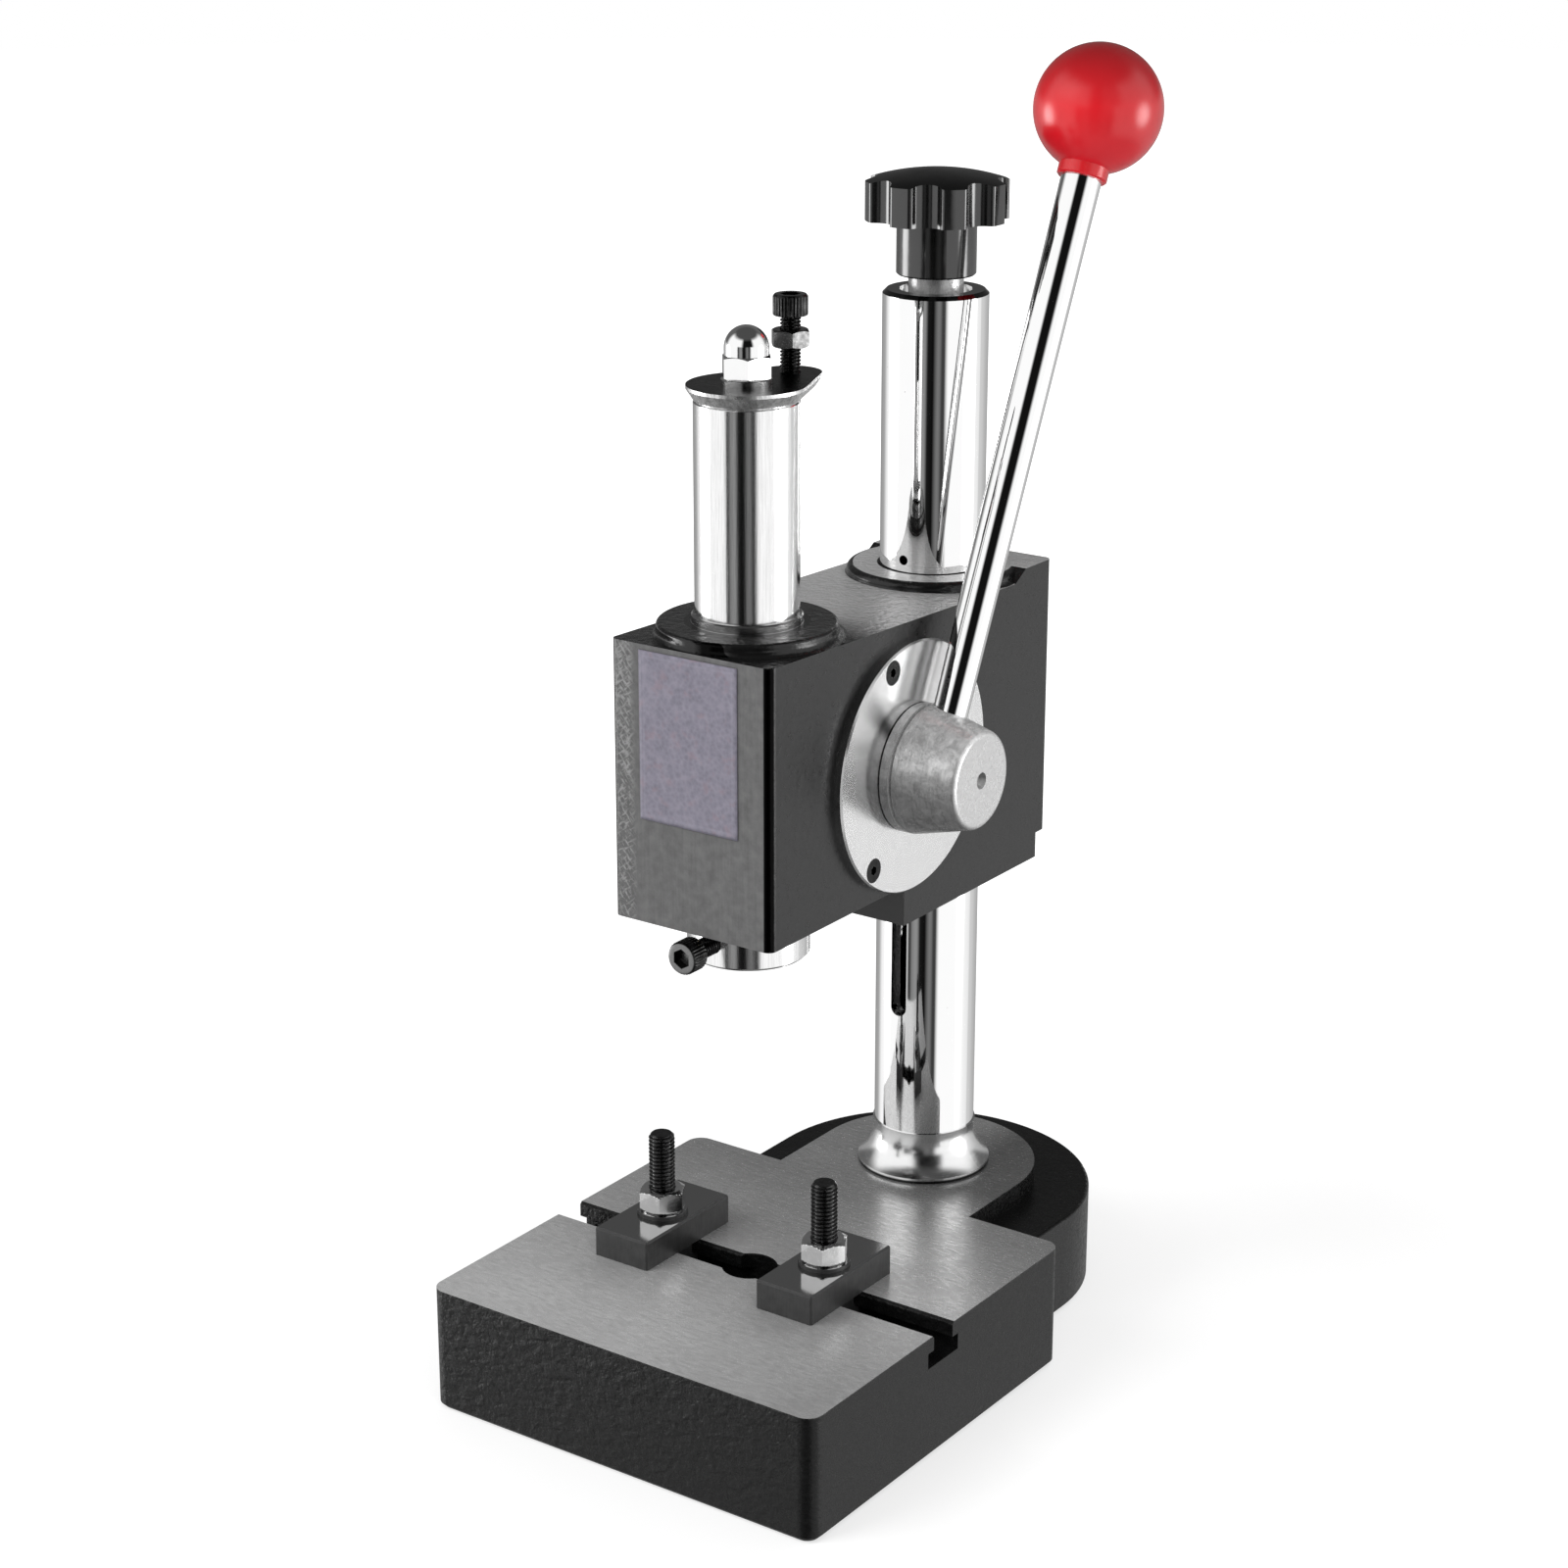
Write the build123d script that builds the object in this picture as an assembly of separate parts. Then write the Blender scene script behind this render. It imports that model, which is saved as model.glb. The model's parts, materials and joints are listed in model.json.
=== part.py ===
from build123d import *
from math import acos, ceil, cos, pi, radians, sin, sqrt, tan
import os

# Lever hole punch: a small hand press with a height-adjustable head on a round column.
# Millimetres. Origin on the underside of the base, on the ram axis. +X is the lever side,
# -Y the operator's side, +Z up.

# ---- base casting ----
block_width = 139.2            # front block, along X
block_depth = 133.6            # front block, along Y, centred on the ram axis
block_corner_r = 5.0
ledge_edge_r = 1.0
table_height = 39.4            # machined top above the floor
ledge_height = 32.3            # painted ledge round the column foot
ledge_r = 53.8
pad_r = 36.0                   # machined pad round the column foot
floor_chamfer = 1.5
column_offset = 96.1           # ram axis to column axis
column_seat_depth = 20.0
bolt_recess_d = 18.0
bolt_recess_depth = 10.2

# ---- tee slot and die hole in the table ----
slot_width = 10.0
slot_throat = 4.8
tee_width = 16.0
tee_height = 5.0
slot_edge_chamfer = 0.8
die_bore_d = 17.0
die_bore_depth = 25.4

# ---- column ----
column_d = 32.0
column_rise = 283.2            # column top above the table
column_bore_d = 22.0
column_floor = 30.0            # bottom of the bore above the table
column_chamfer = 1.2
keyway_width = 5.6
keyway_low = 54.6              # round lower end above the table
keyway_high = 196.0
oil_hole_d = 3.0
oil_hole_rise = 203.0
foot_d = 42.3
foot_height = 15.0
foot_rim = 1.6
foot_lip = 0.4                 # ring's wall at its thin top edge
foot_bend = (1.14, 6.1)        # point on the flare, out from the lip and up from the table
column_bolt_d = 8.0
column_bolt_length = 30.0
column_bolt_head_d = 13.0
column_bolt_head_height = 8.0
column_bolt_socket = 6.0
column_washer_d = 16.0
column_washer_thickness = 1.6

# ---- head casting, at its rest height ----
head_rest = 155.5              # front underside above the floor
head_width = 55.7
head_front = 27.7              # front face ahead of the ram axis
head_length = 148.8
head_height = 83.1
head_corner_r = 2.5
heel_start = 40.2              # front of the lower heel behind the ram axis
heel_length = 75.0
heel_drop = 12.5
heel_lip_drop = 4.5
top_fall = 4.3                 # the top's slope down towards the back, over the whole length
rear_pad_length = 15.5         # level strip across the back, as high as the front edge
rear_pad_ramp = 6.0            # length of the slope that leads up to the strip
ram_boss_r = 26.0
ram_boss_height = 3.4          # above the top's front edge
ram_boss_edge_r = 1.0
ram_boss_flare = 2.4
column_boss_r = 26.2
column_boss_edge_r = 2.0
column_boss_flare = 1.5
column_bore_chamfer = 0.8
pinion_height = 37.8           # pinion axis above the front underside
cavity_wall = 15.9             # left wall behind the pinion
lock_screw_heights = (20.0, 58.0)
lock_screw_d = 8.0
lock_screw_length = 6.4
lock_pad_length = 2.1
lock_pad_d = 6.6
lock_screw_socket = 4.0

# ---- fits ----
running_fit = 0.04             # radial, sliding and turning fits
loose_fit = 0.30               # free gap between bodies that move past each other
seat_gap = 0.05                # parts of different bodies that rest on each other
screw_clearance = 0.25         # radial, screw shank in a through hole

# ---- screws and nuts in general ----
screw_head_chamfer = 0.45
screw_end_chamfer = 0.6
socket_depth = 2.6
nut_face_inset = 0.25          # a nut's round face inside its flats
nut_corner_angle = 30.0

# ---- rack and pinion ----
gear_module = 2.0
pinion_teeth = 28
pressure_angle = 20.0
pinion_face = 20.0
gear_backlash = 0.16
rack_flat = 0.5                # depth of the flat that the rack teeth start from
dedendum_factor = 1.25
flank_points = 5
pinion_tip_gap = 1.0           # pinion tip to cavity wall

# ---- ram ----
ram_d = 30.0
ram_collar_d = 36.0
ram_collar_height = 13.2
ram_rise = 67.1                # ram top above the top of the head block
stroke = 42.0
tool_bore_d = 10.0
tool_bore_depth = 26.0
spring_bore_d = 14.0
ram_edge_chamfer = 0.8
upper_bush_length = 24.0
lower_bush_length = 14.0
bush_wall = 3.0
bush_lip_wall = 0.9
bush_lip_height = 2.4

# ---- return spring inside the ram ----
cross_pin_d = 6.0
cross_pin_height = 28.0        # above the front underside
cross_pin_grip = 7.0           # blind depth in the right-hand wall
spring_seat_thickness = 3.0
spring_seat_groove = 1.0
spring_wire_height = 1.4
spring_wire_width = 1.8
spring_turns = 13
plug_length = 12.0

# ---- ram top: stop plate, acorn nut, stop screw ----
plate_thickness = 4.0
plate_r = 17.0
plate_lobe_r = 9.0
plate_bevel = 2.0
plate_bevel_height = 3.0
stop_offset = 21.0             # stop screw behind the ram axis
stud_d = 8.0
washer_d = 14.4
washer_thickness = 1.5
acorn_across_flats = 13.0
acorn_hex_height = 6.8
acorn_height = 15.0
acorn_bore_depth = 10.5
acorn_dome_inset = 0.2         # dome inside the hexagon's flats
stop_screw_d = 6.0
stop_screw_length = 40.0
stop_screw_set = 16.1          # underside of its head above the plate
stop_head_d = 10.0
stop_head_height = 6.0
stop_socket = 5.0
lock_nut_across_flats = 10.0
lock_nut_thickness = 5.0
lock_nut_drop = 3.9            # nut below the screw's head

# ---- tool clamp screw ----
tool_screw_d = 6.0
tool_screw_length = 20.0
tool_head_d = 10.0
tool_head_height = 6.0
tool_socket = 5.0
tool_screw_stand_off = 8.6     # head clear of the ram collar
tool_screw_rise = 7.4          # above the ram's lower face

# ---- bearing flange and shaft ----
flange_r = 38.0
flange_thickness = 3.0
flange_spigot_depth = 12.0
flange_screw_count = 3
flange_screw_circle_r = 33.6
flange_screw_angle = 111.0
flange_screw_d = 4.0
flange_screw_head_d = 7.4
flange_screw_length = 12.0
flange_screw_socket = 2.5
flange_socket_depth = 1.5
flange_edge_chamfer = 0.5
shaft_d = 20.0
shaft_bush_wall = 3.0
shaft_bush_collar = 1.0
key_width = 6.0
key_height = 6.0
key_length = 18.0
end_washer_d = 26.0
end_washer_thickness = 3.0
end_screw_d = 8.0
end_screw_length = 20.0
end_screw_head_d = 13.0
end_screw_head_height = 8.0
end_screw_socket = 6.0

# ---- lever hub, rod and ball ----
hub_length = 22.6
hub_d = 38.5
hub_end_d = 29.0
hub_collar_length = 2.8
hub_groove_width = 1.2
hub_groove_depth = 1.4
hub_edge_r = 1.8
hub_centre_d = 5.0
hub_centre_depth = 2.5
lever_plane = 6.9              # rod axis beyond the hub's inner face
lever_lean = 24.5              # degrees behind the vertical at rest
lever_length = 200.0           # shaft axis to ball centre
rod_root_d = 10.6
rod_tip_d = 12.2
rod_thread_d = 8.0
rod_thread_length = 11.0       # screwed stub inside the hub
rod_tip_thread_length = 14.0
rod_spot_depth = 2.2
rod_spot_gap = 0.8
ball_d = 38.4
ball_neck_d = 15.0
ball_neck_length = 2.2
ball_neck_chamfer = 0.5

# ---- height screw and star knob ----
screw_d = 12.0
screw_bottom = 36.0            # above the table
screw_collar_d = 16.6
screw_tail_d = 10.0
screw_tail_length = 18.0
screw_end_lead = 1.0
knob_gap = 4.3                 # bright collar between the column and the knob
cap_drop = 1.5                 # cap face below the column's top
cap_length = 12.5
clip_thickness = 1.2
clip_d = 17.0
clip_groove_depth = 0.6
clip_gap = 3.0
knob_hub_d = 24.0
knob_hub_length = 16.2
knob_d = 43.0
knob_lobes = 8
knob_rim_height = 11.5
knob_dome = 3.4
knob_flute_r = 5.0
knob_flute_depth = 3.6
knob_edge_r = 1.4
knob_hub_chamfer = 0.5
knob_phase = -43.0             # degrees, first lobe
travel_nut_length = 24.0
guide_screw_d = 5.0
guide_head_d = 8.5
guide_head_height = 5.0
guide_socket = 4.0
guide_screw_rise = 6.5         # above the heel's underside
guide_screw_bite = 4.0         # into the travelling nut

# ---- work clamps ----
clamp_places = {"left": -33.0, "right": 27.3}
clamp_width = 20.0
clamp_length = 42.0
clamp_height = 9.2
clamp_chamfer = 0.6
clamp_fit = 0.08
clamp_stud_top = 74.7          # above the floor
clamp_stud_chamfer = 1.0
tee_nut_length = 15.0
tee_play = 0.3
tee_nut_base = 4.4
tee_nut_neck = 3.6
clamp_nut_across_flats = 13.0
clamp_nut_height = 6.8
clamp_washer_d = 15.6
clamp_washer_thickness = 1.3

# ---- worked out from the sizes above ----
head_top = head_rest + head_height
head_back = head_length - head_front
head_side = head_width / 2
top_slope = top_fall / head_length
ram_r = ram_d / 2
ram_top = head_top + ram_rise
ram_foot = head_rest - loose_fit - ram_collar_height
bush_r = ram_r + bush_wall
column_r = column_d / 2
column_bore_r = column_bore_d / 2
column_top = table_height + column_rise
pitch_r = gear_module * pinion_teeth / 2
pinion_tip_r = pitch_r + gear_module
rack_tip = ram_r - rack_flat
rack_pitch_line = rack_tip - gear_module
rack_root = rack_pitch_line - dedendum_factor * gear_module
tooth_pitch = pi * gear_module
pinion_y = rack_pitch_line + pitch_r
pinion_z = head_rest + pinion_height
cavity_r = pinion_tip_r + pinion_tip_gap
cavity_floor = cavity_wall - head_side
shaft_r = shaft_d / 2
shaft_bush_r = shaft_r + shaft_bush_wall
flange_face = head_side + flange_thickness
hub_face = flange_face + loose_fit
plate_top = ram_top + plate_thickness
cross_pin_z = head_rest + cross_pin_height
plug_foot = ram_top - plug_length
seat_top = cross_pin_z + cross_pin_d / 2 + spring_seat_thickness
cap_face = column_top - cap_drop
knob_foot = column_top + knob_gap
slot_floor = table_height - slot_throat - tee_height
guide_screw_z = head_rest - heel_drop + guide_screw_rise


def save(part, node):
    """Write one node as a STEP file."""
    export_step(part, "parts/" + node + ".step")


def upright(radius, low, high, x=0.0, y=0.0):
    """A vertical cylinder between two heights."""
    return Pos(x, y, (low + high) / 2) * Cylinder(radius, high - low)


def cross(radius, left, right, y, z):
    """A cylinder along X between two stations."""
    return Pos((left + right) / 2, y, z) * Rot(0, 90, 0) * Cylinder(radius, right - left)


def along_y(radius, front, back, x, z):
    """A cylinder along Y between two stations."""
    return Pos(x, (front + back) / 2, z) * Rot(90, 0, 0) * Cylinder(radius, back - front)


def hexagon(across_flats, turn=0.0):
    return RegularPolygon(across_flats / sqrt(3), 6, rotation=turn)


def hex_nut(across_flats, height, bore_r, turn=0.0):
    """A nut standing on Z = 0, its corners turned down by a 30 degree cone."""
    corner_r = across_flats / sqrt(3)
    flat_r = across_flats / 2 - nut_face_inset
    drop = (corner_r - flat_r) * tan(radians(nut_corner_angle))
    blank = extrude(hexagon(across_flats, turn), height)
    cone = Polyline((0, 0), (flat_r, 0), (corner_r, drop), (corner_r, height - drop), (flat_r, height),
                    (0, height), close=True)
    nut = blank & revolve(Plane.XZ * make_face(cone), Axis.Z)
    return nut - upright(bore_r, -1, height + 1)


def cap_screw(diameter, length, head_d, head_height, socket):
    """A socket head screw along Z: shank below Z = 0, head above it, socket across its flats."""
    screw = upright(head_d / 2, 0, head_height)
    screw = chamfer(screw.edges().group_by(Axis.Z)[-1], screw_head_chamfer)
    shank = upright(diameter / 2, -length, 0)
    shank = chamfer(shank.edges().group_by(Axis.Z)[0], screw_end_chamfer)
    key = Pos(0, 0, head_height - socket_depth) * extrude(hexagon(socket), head_height)
    return screw + shank - key


def base_casting():
    half_depth = block_depth / 2
    block = extrude(RectangleRounded(block_width, block_depth, block_corner_r), table_height)
    ledge = extrude(neck_outline(ledge_r, half_depth), ledge_height)
    ledge = fillet(ledge.edges().filter_by(GeomType.CIRCLE).group_by(Axis.Z)[-1], ledge_edge_r)
    pad = extrude(neck_outline(pad_r, half_depth), table_height)
    casting = block + ledge + pad
    foot_edges = casting.edges().group_by(Axis.Z)[0]
    casting = chamfer(foot_edges, floor_chamfer)
    casting -= upright(die_bore_d / 2, table_height - die_bore_depth, table_height + 1)
    casting -= tee_slot()
    casting -= upright(column_r, table_height - column_seat_depth, table_height + 1, y=column_offset)
    casting -= upright(column_bolt_d / 2 + screw_clearance, -1, table_height, y=column_offset)
    casting -= upright(bolt_recess_d / 2, -1, bolt_recess_depth, y=column_offset)
    return casting


def neck_outline(radius, half_depth):
    """A straight neck from inside the block to a half round about the column."""
    neck = Pos(0, (half_depth + column_offset) / 2 - block_corner_r) * Rectangle(
        2 * radius, column_offset - half_depth + 2 * block_corner_r)
    return neck + Pos(0, column_offset) * Circle(radius)


def tee_slot():
    """The tee slot's section in YZ, run through the block along X."""
    mouth = slot_width / 2 + slot_edge_chamfer
    above = table_height + 1
    throat_low = table_height - slot_throat
    section = Polyline(
        (-mouth, above), (-mouth, table_height), (-slot_width / 2, table_height - slot_edge_chamfer),
        (-slot_width / 2, throat_low), (-tee_width / 2, throat_low), (-tee_width / 2, slot_floor),
        (tee_width / 2, slot_floor), (tee_width / 2, throat_low), (slot_width / 2, throat_low),
        (slot_width / 2, table_height - slot_edge_chamfer), (mouth, table_height), (mouth, above),
        close=True)
    return extrude(Plane.YZ * make_face(section), block_width, both=True)


def column():
    seat = table_height - column_seat_depth
    tube = upright(column_r, seat, column_top, y=column_offset)
    tube = chamfer(tube.edges().group_by(Axis.Z)[-1], column_chamfer)
    tube -= upright(column_bore_r, table_height + column_floor, column_top + 1, y=column_offset)
    tube -= upright(column_bolt_d / 2, seat - 1, seat + column_bolt_length - 6, y=column_offset)
    low = table_height + keyway_low
    high = table_height + keyway_high
    keyway = Pos(0, column_offset - column_r, (low + high) / 2) * Rot(90, 0, 0) * extrude(
        SlotOverall(high - low, keyway_width, rotation=90), column_r - column_bore_r / 2, both=True)
    oil_hole_z = table_height + oil_hole_rise
    oil_hole = along_y(oil_hole_d / 2, column_offset - column_d, column_offset, 0, oil_hole_z)
    return tube - keyway - oil_hole


def column_foot():
    """A trumpet-shaped ring shrunk on the column, its flare one arc."""
    lip_r = column_r + foot_lip
    start = (lip_r, table_height + foot_height)
    bend = (lip_r + foot_bend[0], table_height + foot_bend[1])
    end = (foot_d / 2, table_height + foot_rim)
    outline = Polyline(end, (foot_d / 2, table_height), (column_r, table_height), (column_r, start[1]), start)
    curve = ThreePointArc(start, bend, end)
    ring = revolve(Plane.XZ * make_face(outline + curve), Axis.Z)
    return Pos(0, column_offset, 0) * ring


def column_cap():
    """The bush pressed into the column's top, which carries the height screw."""
    low = cap_face - cap_length
    cap = upright(column_bore_r, low, cap_face, y=column_offset)
    return cap - upright(screw_d / 2 + running_fit, low - 1, cap_face + 1, y=column_offset)


def column_bolt():
    screw = cap_screw(column_bolt_d, column_bolt_length, column_bolt_head_d, column_bolt_head_height,
                      column_bolt_socket)
    under_head = bolt_recess_depth - column_washer_thickness
    return Pos(0, column_offset, under_head) * Rot(180, 0, 0) * screw


def column_washer():
    low = bolt_recess_depth - column_washer_thickness
    washer = upright(column_washer_d / 2, low, bolt_recess_depth, y=column_offset)
    return washer - upright(column_bolt_d / 2, low - 1, bolt_recess_depth + 1, y=column_offset)


def height_screw():
    """Lead screw: its collar rests on the cap and its tail is moulded into the knob."""
    bottom = table_height + screw_bottom
    core = upright(screw_d / 2, bottom, cap_face, y=column_offset)
    core = chamfer(core.edges().group_by(Axis.Z)[0], screw_end_lead)
    collar = upright(screw_collar_d / 2, cap_face + seat_gap, knob_foot, y=column_offset)
    neck = upright(screw_d / 2, cap_face - 1, knob_foot, y=column_offset)
    tail = upright(screw_tail_d / 2, knob_foot - 1, knob_foot + screw_tail_length, y=column_offset)
    high = cap_face - cap_length - seat_gap
    low = high - clip_thickness
    groove = upright(screw_d, low, high, y=column_offset)
    groove -= upright(screw_d / 2 - clip_groove_depth, low, high, y=column_offset)
    return core + collar + neck + tail - groove


def height_screw_clip():
    """The retaining ring below the cap."""
    top = cap_face - cap_length - seat_gap
    ring = upright(clip_d / 2, top - clip_thickness, top, y=column_offset)
    ring -= upright(screw_d / 2 - clip_groove_depth, top - clip_thickness - 1, top + 1, y=column_offset)
    gap = Pos(0, column_offset + clip_d / 2, top) * Box(clip_gap, clip_d - clip_gap, 4 * clip_thickness)
    return ring - gap


def star_knob():
    """Eight-lobed knob: fluted rim under a dome, on a round hub."""
    flute = Pos(knob_d / 2 + knob_flute_r - knob_flute_depth, 0) * Circle(knob_flute_r)
    outline = Circle(knob_d / 2)
    for lobe in range(knob_lobes):
        outline -= Rot(0, 0, (lobe + 0.5) * 360 / knob_lobes) * flute
    outline = fillet(outline.vertices(), knob_edge_r)
    rim_low = knob_foot + knob_hub_length
    rim = Pos(0, 0, rim_low) * extrude(outline, knob_rim_height + knob_dome)
    dome_r = ((knob_d / 2) ** 2 + knob_dome ** 2) / (2 * knob_dome)
    dome = Pos(0, 0, rim_low + knob_rim_height + knob_dome - dome_r) * Sphere(dome_r)
    under = upright(knob_d, rim_low, rim_low + knob_rim_height + knob_dome + 1)
    rim = rim & (dome & under)
    hub = upright(knob_hub_d / 2, knob_foot, rim_low + knob_rim_height / 2)
    hub = chamfer(hub.edges().group_by(Axis.Z)[0], knob_hub_chamfer)
    knob = Rot(0, 0, knob_phase) * (rim + hub)
    knob -= upright(screw_tail_d / 2, knob_foot - 1, knob_foot + screw_tail_length)
    return Pos(0, column_offset, 0) * knob


def travel_nut():
    """The nut inside the column that the guide screw ties to the head."""
    low = guide_screw_z - travel_nut_length / 2
    high = guide_screw_z + travel_nut_length / 2
    nut = upright(column_bore_r - running_fit, low, high, y=column_offset)
    nut -= upright(screw_d / 2 + running_fit, low - 1, high + 1, y=column_offset)
    front = column_offset - column_bore_r
    return nut - along_y(guide_screw_d / 2, front - 1, front + guide_screw_bite, 0, guide_screw_z)


def guide_screw():
    """The dog screw through the heel and the column's keyway into the travelling nut."""
    length = column_offset - column_bore_r + guide_screw_bite - heel_start
    screw = cap_screw(guide_screw_d, length, guide_head_d, guide_head_height, guide_socket)
    return Plane(origin=(0, heel_start, guide_screw_z), x_dir=(1, 0, 0), z_dir=(0, -1, 0)) * screw


def head_casting():
    """The head block with its heel, two bosses, ram and column bores and gear cavity."""
    heel_low = head_rest - heel_drop
    heel_back = heel_start + heel_length
    lip = head_rest - heel_lip_drop
    pad_start = head_back - rear_pad_length
    ramp_start = pad_start - rear_pad_ramp
    side = Polyline(
        (-head_front, head_rest), (-head_front, head_top), (ramp_start, top_at(ramp_start)),
        (pad_start, head_top), (head_back, head_top), (head_back, lip), (heel_back, lip),
        (heel_back, heel_low), (heel_start, heel_low), (heel_start, head_rest), close=True)
    block = extrude(Plane.YZ * make_face(side), head_side, both=True)
    front_corners = block.edges().filter_by(Axis.Z).group_by(Axis.Y)[0]
    rear_corners = block.edges().filter_by(Axis.Z).group_by(Axis.Y)[-1]
    block = fillet(front_corners + rear_corners, head_corner_r)
    block += boss(ram_boss_r, head_top + ram_boss_height, ram_boss_edge_r, ram_boss_flare, 0)
    block += boss(column_boss_r, head_top, column_boss_edge_r, column_boss_flare, column_offset)
    boss_top = head_top + ram_boss_height + 1
    block -= upright(bush_r, heel_low - 1, boss_top)
    block -= Pos(0, column_offset, head_top) * Cone(
        column_r + running_fit, column_r + running_fit + 2 * column_bore_chamfer, 2 * column_bore_chamfer)
    block -= upright(column_r + running_fit, heel_low - 1, boss_top, y=column_offset)
    block -= cross(cavity_r, cavity_floor, head_side + 1, pinion_y, pinion_z)
    block -= cross(shaft_bush_r, -head_side - 1, cavity_floor + 1, pinion_y, pinion_z)
    block -= cross(cross_pin_d / 2, -head_side - 1, bush_r + cross_pin_grip, 0, cross_pin_z)
    block -= along_y(guide_screw_d / 2 + screw_clearance, heel_start - 1, column_offset, 0, guide_screw_z)
    for rise in lock_screw_heights:
        block -= along_y(lock_screw_d / 2, column_offset, head_back + 1, 0, head_rest + rise)
    for y, z in flange_screw_points():
        block -= cross(flange_screw_d / 2, head_side - flange_screw_length, head_side + 1, y, z)
    return block


def top_at(y):
    """Height of the head's sloping top at a place along its length."""
    return head_top - top_slope * (y + head_front)


def boss(radius, top, edge_r, flare, y):
    """A round boss with a rounded rim and a hollow flare at its foot, trimmed by the head's sides."""
    low = head_top - 2 * top_fall
    foot = top_at(y)
    rim = Polyline((radius - edge_r, top), (0, top), (0, low), (radius + flare, low), (radius + flare, foot))
    hollow = RadiusArc((radius + flare, foot), (radius, foot + flare), flare)
    wall = Line((radius, foot + flare), (radius, top - edge_r))
    round_edge = RadiusArc((radius, top - edge_r), (radius - edge_r, top), -edge_r)
    disc = Pos(0, y, 0) * revolve(Plane.XZ * make_face(rim + hollow + wall + round_edge), Axis.Z)
    middle = head_back - head_length / 2
    return disc & Pos(0, middle, head_top) * Box(head_width, head_length, 2 * head_height)


def flange_screw_points():
    """The screws' places in YZ, evenly spaced round the shaft."""
    step = 360 / flange_screw_count
    angles = [radians(flange_screw_angle + step * number) for number in range(flange_screw_count)]
    return [(pinion_y + flange_screw_circle_r * cos(angle), pinion_z + flange_screw_circle_r * sin(angle))
            for angle in angles]


def upper_ram_bush():
    top = head_top + ram_boss_height
    bush = upright(bush_r, top - upper_bush_length, top)
    lip = upright(ram_r + running_fit + bush_lip_wall, top - 1, top + bush_lip_height)
    lip = chamfer(lip.edges().group_by(Axis.Z)[-1], bush_lip_wall / 2)
    return bush + lip - upright(ram_r + running_fit, top - upper_bush_length - 1, top + bush_lip_height + 1)


def lower_ram_bush():
    bush = upright(bush_r, head_rest, head_rest + lower_bush_length)
    return bush - upright(ram_r + running_fit, head_rest - 1, head_rest + lower_bush_length + 1)


def head_lock_screws():
    """Two hollow set screws in the head's back."""
    front = column_offset + column_r + seat_gap + lock_pad_length
    screws = []
    for rise in lock_screw_heights:
        screw = along_y(lock_screw_d / 2, front, front + lock_screw_length, 0, head_rest + rise)
        key = extrude(hexagon(lock_screw_socket), lock_screw_length / 2)
        key = Plane(origin=(0, front + lock_screw_length / 2, head_rest + rise), z_dir=(0, 1, 0)) * key
        screws.append(screw - key)
    return Compound(children=screws)


def lock_pads():
    """Brass pads between the set screws and the column."""
    front = column_offset + column_r + seat_gap
    return Compound(children=[
        along_y(lock_pad_d / 2, front, front + lock_pad_length, 0, head_rest + rise)
        for rise in lock_screw_heights])


def bearing_flange():
    """The round cover on the lever side, whose spigot closes the gear cavity."""
    disc = cross(flange_r, head_side, flange_face, pinion_y, pinion_z)
    disc = chamfer(disc.edges().filter_by(GeomType.CIRCLE).group_by(Axis.X)[-1], flange_edge_chamfer)
    spigot = cross(cavity_r, head_side - flange_spigot_depth, head_side, pinion_y, pinion_z)
    cover = disc + spigot
    cover -= cross(shaft_bush_r, head_side - flange_spigot_depth - 1, flange_face + 1, pinion_y, pinion_z)
    for y, z in flange_screw_points():
        cover -= cross(flange_screw_d / 2 + screw_clearance, 0, flange_face + 1, y, z)
        cover -= countersink(y, z)
    return cover


def countersink(y, z):
    """A 90 degree cone from the flange's face, as deep as its rim is wide."""
    shank_r = flange_screw_d / 2
    depth = flange_screw_head_d / 2 - shank_r
    sink = Cone(shank_r, flange_screw_head_d / 2, depth)
    return Pos(flange_face - depth / 2, y, z) * Rot(0, 90, 0) * sink


def flange_screws():
    """Countersunk screws with hexagon sockets, flush with the flange."""
    depth = flange_screw_head_d / 2 - flange_screw_d / 2
    screws = []
    for y, z in flange_screw_points():
        screw = countersink(y, z)
        screw += cross(flange_screw_d / 2, flange_face - flange_screw_length, flange_face - depth, y, z)
        key = Plane(origin=(flange_face - flange_socket_depth, y, z), z_dir=(1, 0, 0)) * extrude(
            hexagon(flange_screw_socket), depth)
        screws.append(screw - key)
    return Compound(children=screws)


def shaft_bushes():
    """Bronze bushes in the flange and in the head's left wall."""
    spans = [(head_side - flange_spigot_depth, flange_face), (-head_side, cavity_floor)]
    bushes = []
    for left, right in spans:
        bush = cross(shaft_bush_r, left, right, pinion_y, pinion_z)
        bushes.append(bush - cross(shaft_r + running_fit, left - 1, right + 1, pinion_y, pinion_z))
    return bushes


def lever_frame():
    """A plane on the lever rod's axis: its origin on the shaft axis, its Z along the rod."""
    lean = radians(lever_lean)
    return Plane(origin=(hub_face + lever_plane, pinion_y, pinion_z), x_dir=(1, 0, 0),
                 z_dir=(0, sin(lean), cos(lean)))


def hub_radius_at(station):
    """Radius of the tapered hub at a distance from its inner face."""
    start = hub_collar_length + hub_groove_width
    share = (station - start) / (hub_length - start)
    return hub_d / 2 + (hub_end_d - hub_d) / 2 * share


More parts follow.
